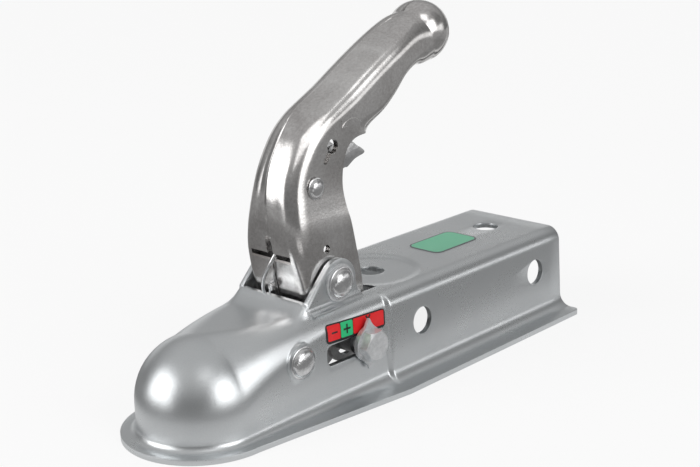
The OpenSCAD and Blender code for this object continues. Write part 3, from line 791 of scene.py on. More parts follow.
@dataclass
class FoldedLever:
    """The lever: one sheet folded to a channel that is open to the rear and rolled shut along the grip."""

    sheet: float = 2.5
    pivot_hw: float = 18.0
    grip_hw: float = 14.0
    grip_end: Point2 = (147.1, 136.7)
    grip_end_r: float = 14.6
    end_tilt: float = 24.0
    slide: Point2 = (72.6, 9.4)
    arm_r: float = 11.4
    arm_bore: float = 6.85
    catch_seat: tuple[float, float] = (5.2, 14.9)
    seam_depth: float = 0.55
    seam_shift: float = 2.0
    seam_turns: tuple[Point2, Point2] = ((66, 30), (52, 16))
    seam_step: float = 0.3
    seam_margin: float = 0.9
    seam_end: Point2 = (128, 8)
    crest: float = 0.7
    crest_end: Point2 = (118, 12)
    crest_start: Point2 = (50, 22)
    cross_z: float = 50.8
    cross_half: float = 1.75
    cross_arm: float = 12.0
    cross_top: float = 9.6
    key_hole: tuple[Point2, float] = ((71.3, 97.2), 3.3)
    key_slot: tuple[Point2, float] = ((66.6, 91.2), 1.3)
    tell_hole: tuple[Point2, float] = ((61.5, 53.4), 2.0)
    rows: tuple[LeverRow, ...] = (
        LeverRow((50, 28), (83.8, 28), 1, 5), LeverRow((47.6, 39), (82.4, 39), 1, 5),
        LeverRow((44.6, 52), (79.5, 52), 1, 6.5), LeverRow((43.2, 63), (77.6, 62.5), 0.85),
        LeverRow((43.7, 72), (76, 70.5), 0.5), LeverRow((44.8, 80), (75.5, 78), 0.2),
        LeverRow((47.2, 88), (76.4, 85), 0.05), LeverRow((51.3, 95.8), (78.2, 91), 0),
        LeverRow((57.2, 103.8), (81, 95.8), 0), LeverRow((65.2, 110.5), (85.5, 98.6), 0),
        LeverRow((75.2, 115.9), (91.5, 99.6), 0), LeverRow((85, 120.9), (97.6, 100.8), 0, curl=45, lip=3),
        LeverRow((94.7, 126.4), (106.5, 105.2), 0, curl=90, lip=6),
        LeverRow((104.4, 131.8), (115.6, 111.7), 0, curl=90, lip=6),
        LeverRow((114.6, 137.1), (124.2, 119.8), 0, curl=90, lip=6),
        LeverRow((124.5, 142.2), (132.5, 123.4), -0.1, 9.5, 90, 9, 5),
        LeverRow((131.4, 145.4), (139.4, 122.4), -0.1, 11, 90, 14, 2))
    end_angles: tuple[int, ...] = (70, 76, 82, 88, 94, 100, *range(107, 164, 7), 169)

    def end_row(self, angle: float) -> LeverRow:
        """Row through the round end, at a polar angle in degrees from the line that leads into it."""
        a, t = math.radians(angle), math.radians(self.end_tilt)
        r = self.grip_end_r * math.sin(a)
        mx = self.grip_end[0] - self.grip_end_r * math.cos(a) * math.cos(t)
        mz = self.grip_end[1] - self.grip_end_r * math.cos(a) * math.sin(t)
        up = (-math.sin(t), math.cos(t))
        bend = max(r - 0.3, 0.2)
        return LeverRow((mx + r * up[0], mz + r * up[1]), (mx - r * up[0], mz - r * up[1]),
                        (r - self.grip_hw) / (self.pivot_hw - self.grip_hw), bend, 90,
                        bend * math.pi / 2, 0.15)

    @staticmethod
    def blended(rows: Sequence[LeverRow], u: float) -> LeverRow:
        """Row between the middle two of four, on a smooth curve through all of them."""
        front, rear = (tuple(spline(*(row[k][i] for row in rows), u) for i in (0, 1)) for k in (0, 1))
        return LeverRow(front, rear, *(spline(*(row[k] for row in rows), u) for k in range(2, 7)))

    def seam_offset(self, x: float, z: float) -> float:
        """Sideways place of the seam on the front face."""
        (z0, height), (x0, length) = self.seam_turns
        return self.seam_shift * ease((z - z0) / height) + self.seam_shift * ease((x - x0) / length)

    def half_fold(self, row: LeverRow, inset: float) -> list[Point2]:
        """Half of the folded section, as depth from the front and half width."""
        hw = min(self.pivot_hw, mix(self.grip_hw, self.pivot_hw, row.wide))
        depth = math.hypot(row.rear[0] - row.front[0], row.rear[1] - row.front[1])
        points = arc((row.bend, hw - row.bend), max(row.bend - inset, 0.05), 180, 90, 12)
        if row.curl < 1:
            return points + [(depth + row.lip + row.length * (i / 9 - 1), hw - inset) for i in range(10)]
        curl = math.radians(row.curl)
        c, s = math.cos(curl), math.sin(curl)
        curl_r = row.length * 180 / (math.pi * max(row.curl, 1))
        start = depth - curl_r * s
        points += arc((start, hw - curl_r), max(curl_r - inset, 0.05), 90, 90 - row.curl, 8)
        reach = curl_r - inset
        return points + [(start + reach * s + row.lip * c, hw - curl_r + reach * c - row.lip * s)]

    def face_line(self, flat: float, x: float, z: float) -> list[Point2]:
        """Line across the front face, with the seam pressed in and a low crest along it.

        Args:
            flat: Half width of the face between its bends.
            x: Place of the row along the part.
            z: Its height.

        Returns:
            Points as sideways place and depth.
        """
        seam = max(-flat + self.seam_margin, min(flat - self.seam_margin, self.seam_offset(x, z)))
        deep = self.seam_depth * (1 - ease((x - self.seam_end[0]) / self.seam_end[1]))
        crest = self.crest * (1 - ease((x - self.crest_end[0]) / self.crest_end[1]))
        crest *= ease((z - self.crest_start[0]) / self.crest_start[1])

        def roof(y: float) -> float:
            """Depth of the face beside the seam."""
            reach = flat + seam if y < seam else flat - seam
            return -crest * (1 - ease(abs(y - seam) / max(reach, 0.5)))

        left = [mix(-flat, seam - 2 * self.seam_step, k / 7) for k in range(1, 7)]
        right = [mix(seam + 2 * self.seam_step, flat, k / 7) for k in range(1, 7)]
        pressed = []
        for k in (-2, -1, 0, 1, 2):
            y = seam + k * self.seam_step
            pressed.append((y, roof(y) + deep * (1 - abs(k) / 2) ** 1.5))
        return [(y, roof(y)) for y in left] + pressed + [(y, roof(y)) for y in right]

    def ring(self, row: LeverRow) -> Ring:
        """Closed ring of the sheet at one row."""
        front, rear = Vector(row.front), Vector(row.rear)
        axis = (rear - front).normalized()
        outer, inner = self.half_fold(row, 0), self.half_fold(row, self.sheet)
        reach = inner[0][1]
        flat = [(-y, d) for d, y in reversed(outer)] + self.face_line(outer[0][1], front.x, front.y)
        flat += [(y, d) for d, y in outer + inner[::-1]]
        flat += [(mix(reach, -reach, (k + 1) / 18), self.sheet) for k in range(17)]
        flat += [(-y, d) for d, y in inner]
        return [(front.x + axis.x * depth, y, front.y + axis.y * depth) for y, depth in flat]

    def arm(self, side: int) -> Object:
        """Arm that reaches down to the slide bolt on one side, with its long hole."""
        x, z = self.slide[0] + 0.1, self.slide[1]
        outline = [(50, 28.2)] + arc((x, z - 0.2), self.arm_r, 158, 360, 40) + [(84.6, 28.2)]
        plate = prism("arm", outline, side * (self.pivot_hw - self.sheet), side * self.pivot_hw)
        hole = arc((x, z + 0.7), self.arm_bore, 0, 180, 20) + arc((x, z - 1.2), self.arm_bore, 180, 360, 20)
        return combine(plate, [prism("arm_hole", hole, -25, 25)], "DIFFERENCE")

    def cutters(self) -> list[Object]:
        """Everything that is cut out of the lever."""
        z, half, end, reach = self.cross_z, self.cross_half, self.cross_arm, 25
        low, high, top = z - half, z + half, z + self.cross_top
        outline = [(-end, low), (-end + 0.6, low), (end, low), (end, high), (half, high), (half, top),
                   (-half, top), (-half, high), (-end, high)]
        cross = loft("cross", [[(x, y, h) for y, h in outline] for x in (38, 49.5)], strip=False)
        (key, key_r), (slot, slot_r) = self.key_hole, self.key_slot
        way = math.degrees(math.atan2(slot[1] - key[1], slot[0] - key[0]))
        gap = math.degrees(math.asin(slot_r / key_r))
        outline = arc(key, key_r, way + gap, way + 360 - gap, 36) + arc(slot, slot_r, way - 90, way + 90, 12)
        tools = [cross, block("slit", (40, -0.32, 26), (56, 0.32, z)),
                 prism("key_hole", outline, -reach, reach), bore("pivot_hole", LEVER_PIVOT, BIG_BORE, reach),
                 bore("catch_hole", CATCH_RIVET, SMALL_BORE, reach),
                 bore("tell_hole", *self.tell_hole, reach)]
        radius, depth = self.catch_seat
        return tools + [cross_rod("seat", *CATCH_RIVET, radius, s * depth, s * reach) for s in (-1, 1)]

    def build(self, finishes: Finishes) -> Object:
        """Builds the lever and dresses it."""
        rows = []
        for around in fours([*self.rows, self.end_row(self.end_angles[0])]):
            rows += [self.blended(around, k / 5) for k in range(5)]
        rows += [self.end_row(angle) for angle in self.end_angles]
        sheet = loft("lever_sheet", [self.ring(row) for row in rows])
        combine(sheet, self.cutters(), "DIFFERENCE")
        combine(sheet, [self.arm(side) for side in (-1, 1)], "UNION")
        soften(sheet, 0.3, flat=True)
        return dress(sheet, finishes.lever, Body.LEVER, Slot.LEVER, ["handle"])


def wire_tree() -> bpy.types.GeometryNodeTree:
    """Geometry nodes that turn a line of points into a round wire.

    Returns:
        The tree, with inputs for the wire's radius and finish.
    """
    tree = bpy.data.node_groups.new("wire_along_path", "GeometryNodeTree")
    canvas = NodeCanvas(tree)
    canvas.sockets("INPUT", {"Path": "Geometry", "Wire radius": "Float", "Finish": "Material"})
    canvas.sockets("OUTPUT", {"Wire": "Geometry"})
    inside = canvas.add("NodeGroupInput").outputs
    curve = canvas.add("GeometryNodeMeshToCurve", {0: inside["Path"]})
    circle = canvas.add("GeometryNodeCurvePrimitiveCircle", {"Resolution": 14,
                                                             "Radius": inside["Wire radius"]})
    tube = canvas.add("GeometryNodeCurveToMesh", {"Curve": curve.outputs[0],
                                                  "Profile Curve": circle.outputs[0], "Fill Caps": True})
    shade = canvas.add("GeometryNodeSetShadeSmooth", {0: tube.outputs[0]})
    real = canvas.add("GeometryNodeRealizeInstances", {0: shade.outputs[0]})
    finish = canvas.add("GeometryNodeSetMaterial", {"Geometry": real.outputs[0],
                                                    "Material": inside["Finish"]})
    canvas.add("NodeGroupOutput", {"Wire": finish.outputs[0]})
    return tree


def rivet_tree() -> bpy.types.GeometryNodeTree:
    """Geometry nodes that set one head at each end of a shank across the part.

    Returns:
        The tree, with inputs for the centre, the seat, the shank and the finish.
    """
    tree = bpy.data.node_groups.new("rivet_across", "GeometryNodeTree")
    canvas = NodeCanvas(tree)
    canvas.sockets("INPUT", {"Head": "Geometry", "Centre": "Vector", "Seat": "Float", "Shank radius": "Float",
                             "Finish": "Material"})
    canvas.sockets("OUTPUT", {"Rivet": "Geometry"})
    inside = canvas.add("NodeGroupInput").outputs
    line = canvas.add("GeometryNodeMeshLine", {"Count": 2}, mode="END_POINTS")
    out = canvas.add("ShaderNodeCombineXYZ", {1: inside["Seat"]}).outputs[0]
    back = canvas.add("ShaderNodeVectorMath", {0: out, "Scale": -1.0}, operation="SCALE")
    tree.links.new(back.outputs[0], line.inputs["Start Location"])
    tree.links.new(out, line.inputs["Offset"])
    turn = canvas.math("MULTIPLY", canvas.add("GeometryNodeInputIndex").outputs[0], math.pi)
    spin = canvas.add("ShaderNodeCombineXYZ", {2: turn})
    heads = canvas.add("GeometryNodeInstanceOnPoints", {"Points": line.outputs[0], "Instance": inside["Head"],
                                                        "Rotation": spin.outputs[0]})
    length = canvas.math("MULTIPLY", inside["Seat"], 2.0)
    shank = canvas.add("GeometryNodeMeshCylinder", {"Vertices": ROD_SIDES, "Radius": inside["Shank radius"],
                                                    "Depth": length})
    laid = canvas.add("GeometryNodeTransform", {"Geometry": shank.outputs[0],
                                                "Rotation": (math.pi / 2, 0, 0)})
    both = canvas.add("GeometryNodeJoinGeometry")
    for part in (heads, laid):
        tree.links.new(part.outputs[0], both.inputs[0])
    moved = canvas.add("GeometryNodeTransform", {"Geometry": both.outputs[0],
                                                 "Translation": inside["Centre"]})
    real = canvas.add("GeometryNodeRealizeInstances", {0: moved.outputs[0]})
    finish = canvas.add("GeometryNodeSetMaterial", {"Geometry": real.outputs[0],
                                                    "Material": inside["Finish"]})
    canvas.add("NodeGroupOutput", {"Rivet": finish.outputs[0]})
    return tree


def run_tree(piece: Object, tree: bpy.types.GeometryNodeTree, values: dict) -> Object:
    """Runs geometry nodes on a piece and keeps the result as its plain mesh.

    Args:
        piece: The object that the tree starts from.
        tree: The node tree.
        values: Input values by the inputs' names.

    Returns:
        The same object, with the result as its mesh.
    """
    modifier = piece.modifiers.new("nodes", "NODES")
    modifier.node_group = tree
    for item in tree.interface.items_tree:
        if item.item_type == "SOCKET" and item.in_out == "INPUT" and item.name in values:
            modifier[item.identifier] = values[item.name]
    return settle(piece)


@dataclass(frozen=True)
class Coil:
    """Torsion spring about an axis across the part, with a straight leg at each end."""

    centre: Point2
    radius: float
    turns: int
    start: float
    lead: float
    tail: float
    pitch: float
    steps_per_turn: int = 36

    def path(self) -> list[Point3]:
        """Points along the spring, from the end of one leg to the end of the other."""
        (x, z), n, half = self.centre, self.steps_per_turn, self.turns * self.pitch / 2
        angles = [math.radians(self.start + i * 360 / n) for i in range(self.turns * n + 1)]
        turns = [(x + self.radius * math.cos(a), -half + i * self.pitch / n, z + self.radius * math.sin(a))
                 for i, a in enumerate(angles)]
        ends = (turns[0], angles[0], self.lead), (turns[-1], angles[-1], -self.tail)
        lead, tail = ((at[0] + leg * math.sin(a), at[1], at[2] - leg * math.cos(a)) for at, a, leg in ends)
        return [lead] + turns + [tail]


@dataclass
class Wires:
    """The springs and the bent detent wire, each a round wire along its path."""

    tree: bpy.types.GeometryNodeTree = field(default_factory=wire_tree)
    mark_y: float = -14.02
    jaw_turn: float = -12.0

    def along(self, name: str, path: Sequence[Point3], diameter: float,
              material: Material) -> Object:
        """Wire through points in millimetres.

        Args:
            name: Name of the piece.
            path: Points along the wire.
            diameter: Diameter of the wire, in millimetres.
            material: Its finish.

        Returns:
            The wire.
        """
        mesh = bpy.data.meshes.new(name)
        mesh.from_pydata(metres(path), [(i, i + 1) for i in range(len(path) - 1)], [])
        made = placed(name, mesh)
        return run_tree(made, self.tree, {"Wire radius": diameter / 2 * MM, "Finish": material})

    @staticmethod
    def detent_eye() -> list[Sequence[float]]:
        """Path of the thin wire that ends in an eye in front of the lever."""
        legs = [(48.2, 0.2, 49.4), (47.2, 0.5, 44.5), (46.9, 0.9, 40.2), (46.9, 1.2, 38.4)]
        tail = [(45.2, 0.9, 38.0), (45.6, 2.4, 33.6), (47.6, 2.6, 28.5)]
        ring = []
        for k in range(1, 36):
            a = math.radians(10 * k - 30)
            ring.append((46.8 - 0.06 * k, 1.9 + 1.5 * math.sin(a), 36.6 + 1.8 * math.cos(a)))
        return smooth_path(legs) + ring + smooth_path(tail)

    def build(self, finishes: Finishes) -> list[Object]:
        """Builds and dresses every wire, each with its path, diameter, finish, body and node."""
        detent = [(53.5, 0, 57.5), (50, -1.4, 55.5), (47, -1.9, 53.4), (45.2, -1.8, 51.4), (43.9, -1.0, 48.8),
                  (43.2, 0.7, 45.6), (42.9, 2.4, 42.6), (43.1, 3.6, 40), (43.5, 4.4, 37.4), (44.2, 4.9, 35),
                  (46, 5.1, 30.4), (48, 4.6, 26.5)]
        arch = [(77.5, 104.2), (80, 106.3), (83.6, 107.4), (87, 106.9), (89.9, 105.2)]
        tip = [(77.7, 107.6), (77.5, 105.9), (77.5, 104.2), (79.2, 104.3), (80.9, 104.5)]
        arch, tip = (smooth_path([(x, self.mark_y, z) for x, z in line]) for line in (arch, tip))
        lever_coil = Coil(LEVER_PIVOT, radius=9.2, turns=4, start=215, lead=6, tail=9, pitch=2.9)
        catch_coil = Coil(CATCH_RIVET, radius=5.2, turns=3, start=150, lead=6, tail=8, pitch=1.6)
        jaw_coil = Coil(JAW_RIVET, radius=7.7, turns=4, start=200, lead=4, tail=6, pitch=2.2)
        turn = Matrix.Rotation(math.radians(self.jaw_turn), 4, "Y")
        hub = Vector((JAW_RIVET[0], 0, JAW_RIVET[1]))
        turned = [hub + turn @ (Vector(p) - hub) for p in jaw_coil.path()]
        bright = (finishes.bright, Body.LEVER, Slot.BRIGHT)
        mark = (finishes.lever, Body.LEVER, Slot.LEVER)
        dark = (finishes.dark, Body.LEVER, Slot.DARK)
        made = []
        for name, path, diameter, (material, body, slot), *nodes in (
                ("detent_bend", smooth_path(detent), 1.85, bright, "detent_wire"),
                ("detent_eye", self.detent_eye(), 0.9, bright),
                ("turn_mark", arch, 0.5, mark), ("turn_mark_tip", tip, 0.5, mark),
                ("lever_spring_coil", lever_coil.path(), 2.4, dark, "handle_spring"),
                ("catch_spring_coil", catch_coil.path(), 1.2, dark, "catch_spring"),
                ("jaw_spring_coil", turned, 1.8, (finishes.dark, Body.JAW, Slot.DARK), "jaw_spring")):
            made.append(dress(self.along(name, path, diameter, material), material, body, slot, nodes))
        return made


@dataclass
class Rivets:
    """The three rivets across the part."""

    tree: bpy.types.GeometryNodeTree = field(default_factory=rivet_tree)

    @staticmethod
    def head(name: str, diameter: float, height: float) -> Object:
        """Turned head that stands on the plane y = 0 and points towards -Y.

        Args:
            name: Name of the object.
            diameter: Diameter of the rim.
            height: Height of the head.

        Returns:
            The head.
        """
        r, rim = diameter / 2, height * 0.2
        cap = height - rim - 0.2
        profile = [(r - 0.25, 0.0), (r, 0.2), (r, rim), (r - 0.25, rim + 0.15), (r - 0.75, rim + 0.2)]
        for a in (math.radians(angle) for angle in (*range(84, 11, -8), 5)):
            profile.append(((r - 0.9) * math.sin(a), rim + 0.2 + cap * math.cos(a) ** 0.9))
        points = [(0.0, 0.0, 0.0), (0.0, -profile[-1][1] - 0.01, 0.0)]
        m, steps = len(profile), 56
        faces: list[tuple[int, ...]] = []
        for i in range(steps):
            a = 2 * math.pi * i / steps
            points += [(q * math.cos(a), -h, q * math.sin(a)) for q, h in profile]
            here, beside = 2 + i * m, 2 + (i + 1) % steps * m
            faces += [(here + k, here + k + 1, beside + k + 1, beside + k) for k in range(m - 1)]
            faces += [(0, here, beside), (1, here + m - 1, beside + m - 1)]
        return soften(make_object(name, points, faces), 0)

    def rivet(self, name: str, centre: Point2, seat: float, shank: float, diameter: float, height: float,
              material: Material) -> Object:
        """One rivet with both heads.

        Args:
            name: Name of the piece.
            centre: Place in the side view.
            seat: Distance from the middle of the part to the underside of each head.
            shank: Radius of the shank.
            diameter: Diameter of the heads.
            height: Height of the heads.
            material: Its finish.

        Returns:
            The rivet.
        """
        head = self.head(name, diameter, height)
        return run_tree(head, self.tree, {"Centre": (centre[0] * MM, 0, centre[1] * MM), "Seat": seat * MM,
                                          "Shank radius": shank * MM, "Finish": material})

    def build(self, finishes: Finishes) -> list[Object]:
        """Builds and dresses all rivets."""
        bright = finishes.bright
        made = []
        for name, node, body, centre, height, shank in (
                ("pivot_rivet", "handle_rivet", Body.COUPLING, LEVER_PIVOT, 3.8, 5),
                ("jaw_pin", "jaw_rivet", Body.COUPLING, JAW_RIVET, 3.8, 5),
                ("catch_pin", "catch_rivet", Body.LEVER, CATCH_RIVET, 2.6, 3)):
            low, high = (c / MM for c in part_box(node))
            piece = self.rivet(name, centre, high.y - height, shank, high.x - low.x, height - 0.02, bright)
            made.append(dress(piece, bright, body, Slot.BRIGHT, [node]))
        return made


Placement = Callable[[float, float, float], Point3]


@dataclass
class Labels:
    """The indicator scale on the side and the sticker on the rear top."""

    housing: PressedHousing
    length: float = 37.3
    height: float = 8.8
    left: float = 48.7
    middle_z: float = 18.5
    tilt: float = 0.047

    sticker_x: float = 164.9
    sticker_half: Point2 = (16.7, 10.2)
    sticker_rim: float = 0.8

    def on_wall(self, u: float, v: float, lift: float) -> Point3:
        """Place on the near wall for a point of the scale."""
        x = self.left + u
        z = self.middle_z + v - self.tilt * (u - self.length / 2)
        return (x, -self.housing.side_y(x, z) - lift, z)

    def on_top(self, u: float, v: float, lift: float) -> Point3:
        """Place on the rear top for a point of the sticker."""
        return (self.sticker_x + u, v, self.housing.top_z + lift)

    @staticmethod
    def film(points: list, faces: list, place: Placement, box: tuple[float, float, float, float],
             radius: float, lift: float, thickness: float, turn: float = 0.0) -> int:
        """Adds a thin film with rounded corners.

        Args:
            points: Points of the mesh so far.
            faces: Faces of the mesh so far.
            place: Puts a flat point and a height on the part.
            box: Left, right, bottom and top of the film.
            radius: Radius of its corners.
            lift: Height of its back face above the surface.
            thickness: Its thickness.
            turn: Turn about its own middle, in degrees.

        Returns:
            The number of faces that were added.
        """
        u0, u1, v0, v1 = box
        nu, nv = max(2, int((u1 - u0) / 0.8)), 14
        mu, mv = (u0 + u1) / 2, (v0 + v1) / 2
        c, s = math.cos(math.radians(turn)), math.sin(math.radians(turn))
        before, start = len(faces), len(points)
        for height in (lift, lift + thickness):
            for j in range(nv + 1):
                v = mix(v0, v1, (1 - math.cos(math.pi * j / nv)) / 2)
                near = max(0.0, radius - min(v - v0, v1 - v))
                inset = radius - math.sqrt(max(0.0, radius * radius - near * near))
                for i in range(nu + 1):
                    u = mix(u0 + inset, u1 - inset, i / nu)
                    du, dv = u - mu, v - mv
                    points.append(place(mu + c * du - s * dv, mv + s * du + c * dv, height))
        layer, row = (nu + 1) * (nv + 1), nu + 1
        for i in range(nu):
            for j in range(nv):
                a = start + j * row + i
                faces.append((a, a + 1, a + row + 1, a + row))
                faces.append((a + layer, a + layer + row, a + layer + row + 1, a + layer + 1))
        rim = list(range(nu)) + [j * row + nu for j in range(nv)]
        rim += [nv * row + i for i in range(nu, 0, -1)] + [j * row for j in range(nv, 0, -1)]
        for a, b in zip(rim, rim[1:] + rim[:1]):
            faces.append((start + a, start + b, start + b + layer, start + a + layer))
        return len(faces) - before

    def printed(self, name: str, place: Placement, fields: Sequence[tuple]) -> Object:
        """Stack of films, each with its own ink.

        Args:
            name: Name of the piece.
            place: Puts a flat point and a height on the part.
            fields: For each film its box, corner radius, lift, thickness, turn and ink.

        Returns:
            The printed piece.
        """
        points: list = []
        faces: list = []
        inks: list[Material] = []
        order: list[int] = []
        for box, radius, lift, thickness, turn, ink in fields:
            count = self.film(points, faces, place, box, radius, lift, thickness, turn)
            if ink not in inks:
                inks.append(ink)
            order += [inks.index(ink)] * count
        mesh = bpy.data.meshes.new(name)
        mesh.from_pydata(metres(points), [], faces)
        for ink in inks:
            mesh.materials.append(ink)
        mesh.polygons.foreach_set("material_index", order)
        clean(mesh)
        return placed(name, mesh)

    def scale_fields(self, f: Finishes) -> list[tuple]:
        """Films of the indicator scale."""
        h = self.height / 2
        top, low = h - 0.6, -h + 1.2
        bars = [((0.9, 8.6), f.red), ((9.0, 16.4), f.green), ((16.8, self.length - 0.9), f.red)]
        fields = [((0, self.length, -h, h), 2.0, 0.06, 0.16, 0, f.black)]
        fields += [((a, b, low, top), 0.7, 0.2, 0.08, 0, ink) for (a, b), ink in bars]
        fields.append(((3.2, 6.8, -0.1, 0.7), 0.1, 0.27, 0.05, 0, f.black))
        fields += [((10.6, 15.0, -0.1, 0.8), 0.1, 0.27, 0.05, turn, f.black) for turn in (0, 90)]
        fields += [((24.0, 28.6, 1.2, 2.1), 0.1, 0.27, 0.05, turn, f.black) for turn in (52, -52)]
        return fields

    def build(self, finishes: Finishes) -> list[Object]:
        """Builds and dresses both labels."""
        scale = self.printed("indicator_scale", self.on_wall, self.scale_fields(finishes))
        (l, w), rim = self.sticker_half, self.sticker_rim
        sticker = self.printed("rear_sticker", self.on_top, [
            ((-l, l, -w, w), 4.2, 0.02, 0.14, 0, finishes.decal_rim),
            ((-l + rim, l - rim, -w + rim, w - rim), 3.6, 0.14, 0.06, 0, finishes.decal_face)])
        return [dress(scale, finishes.red, Body.COUPLING, Slot.LABEL, ["indicator_label"]),
                dress(sticker, finishes.decal_face, Body.COUPLING, Slot.DECAL, ["top_decal"])]


@dataclass
class SafetyCatch:
    """The catch: two cheeks joined by a curved finger plate with a turned rim."""

    half_width: float = 10.2
    sheet: float = 1.8
    hub_r: float = 5.4
    face_gap: float = 0.2
    rim_gap: float = 0.4
    finger: tuple[Point2, ...] = (
        (83, 84.9), (84.6, 84.8), (86.6, 85.9), (89.3, 87.4), (92.6, 88.3), (95.4, 88.9),
        (96.1, 90.0), (93.9, 91.9), (91.0, 93.6), (88.3, 95.7), (86.4, 96.0), (84, 95.2))
    hook: tuple[Point2, ...] = ((54.6, 80), (63.2, 80), (64, 71.5), (67, 68.5), (62.5, 67.5), (58.5, 70))

    @staticmethod
    def smooth_line(points: Sequence[Point2], steps: int) -> list[Point2]:
        """Smooth curve through points of the side view."""
        return [(p.x, p.y) for p in smooth_path([(x, z, 0) for x, z in points], steps)]

    def outline(self) -> list[Point2]:
        """Outline of a cheek in the side view."""
        hub = arc(CATCH_RIVET, self.hub_r, 115, 318, 24)
        return self.smooth_line(self.finger, 5) + [(79, 92.6), (70, 88.8)] + hub + [(66, 79.4), (73, 82.6)]

    def cheeks(self, name: str, outline: Sequence[Point2]) -> list[Object]:
        """The same plate on both sides."""
        inner, outer = self.half_width - self.sheet, self.half_width
        return [prism(name, outline, s * inner, s * outer) for s in (-1, 1)]

    def rim(self, points: Sequence[Point2]) -> Object:
        """Strip of sheet between the cheeks that follows a line of the side view.

        Args:
            points: The line, as x and z.

        Returns:
            The strip.
        """
        inner, outer = [], []
        for i, (x, z) in enumerate(points):
            a, b = points[max(0, i - 1)], points[min(len(points) - 1, i + 1)]
            dx, dz = b[0] - a[0], b[1] - a[1]
            size = math.hypot(dx, dz)
            inner.append((x - dz / size * self.sheet, z + dx / size * self.sheet))
            outer.append((x - dz / size * self.face_gap, z + dx / size * self.face_gap))
        ring, half = outer + inner[::-1], self.half_width - self.rim_gap
        return loft("rim", [[(x, y, z) for x, z in ring] for y in (-half, half)])

    def build(self, finishes: Finishes) -> Object:
        """Builds the catch and dresses it."""
        catch, far = self.cheeks("catch_plate", self.outline())
        combine(catch, [far, self.rim(self.smooth_line(self.finger[1:6], 4))], "UNION")
        combine(catch, self.cheeks("hook", self.hook), "UNION")
        combine(catch, [bore("catch_bore", CATCH_RIVET, SMALL_BORE, 20)], "DIFFERENCE")
        soften(catch, 0.4)
        return dress(catch, finishes.bright, Body.CATCH, Slot.BRIGHT, ["safety_catch"])


@dataclass
class CarriedNodes:
    """The solids that keep their shape and get a finish."""

    plated: tuple[str, ...] = ("handle_rivet_rings", "slide_bolt", "pointer_plate", "slide_washer",
                               "far_washer", "lock_nut")
    dark: tuple[str, ...] = ("handle_bush", "catch_bush", "jaw_bush", "jaw_spacers", "ball_jaw",
                             "slide_sleeve", "push_link")

    def build(self, finishes: Finishes) -> None:
        """Assigns the finish of each solid."""
        for names, material in ((self.plated, finishes.plated), (self.dark, finishes.dark)):
            for name in names:
                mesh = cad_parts[name].data
                mesh.materials.clear()
                mesh.materials.append(material)


@dataclass(frozen=True)
class Panel:
    """Large soft panel of the studio: azimuth in degrees, sizes as shares of its distance."""

    azimuth: float
    half_width: float
    middle: float
    half_height: float
    strength: float
    softness: float = 0.4


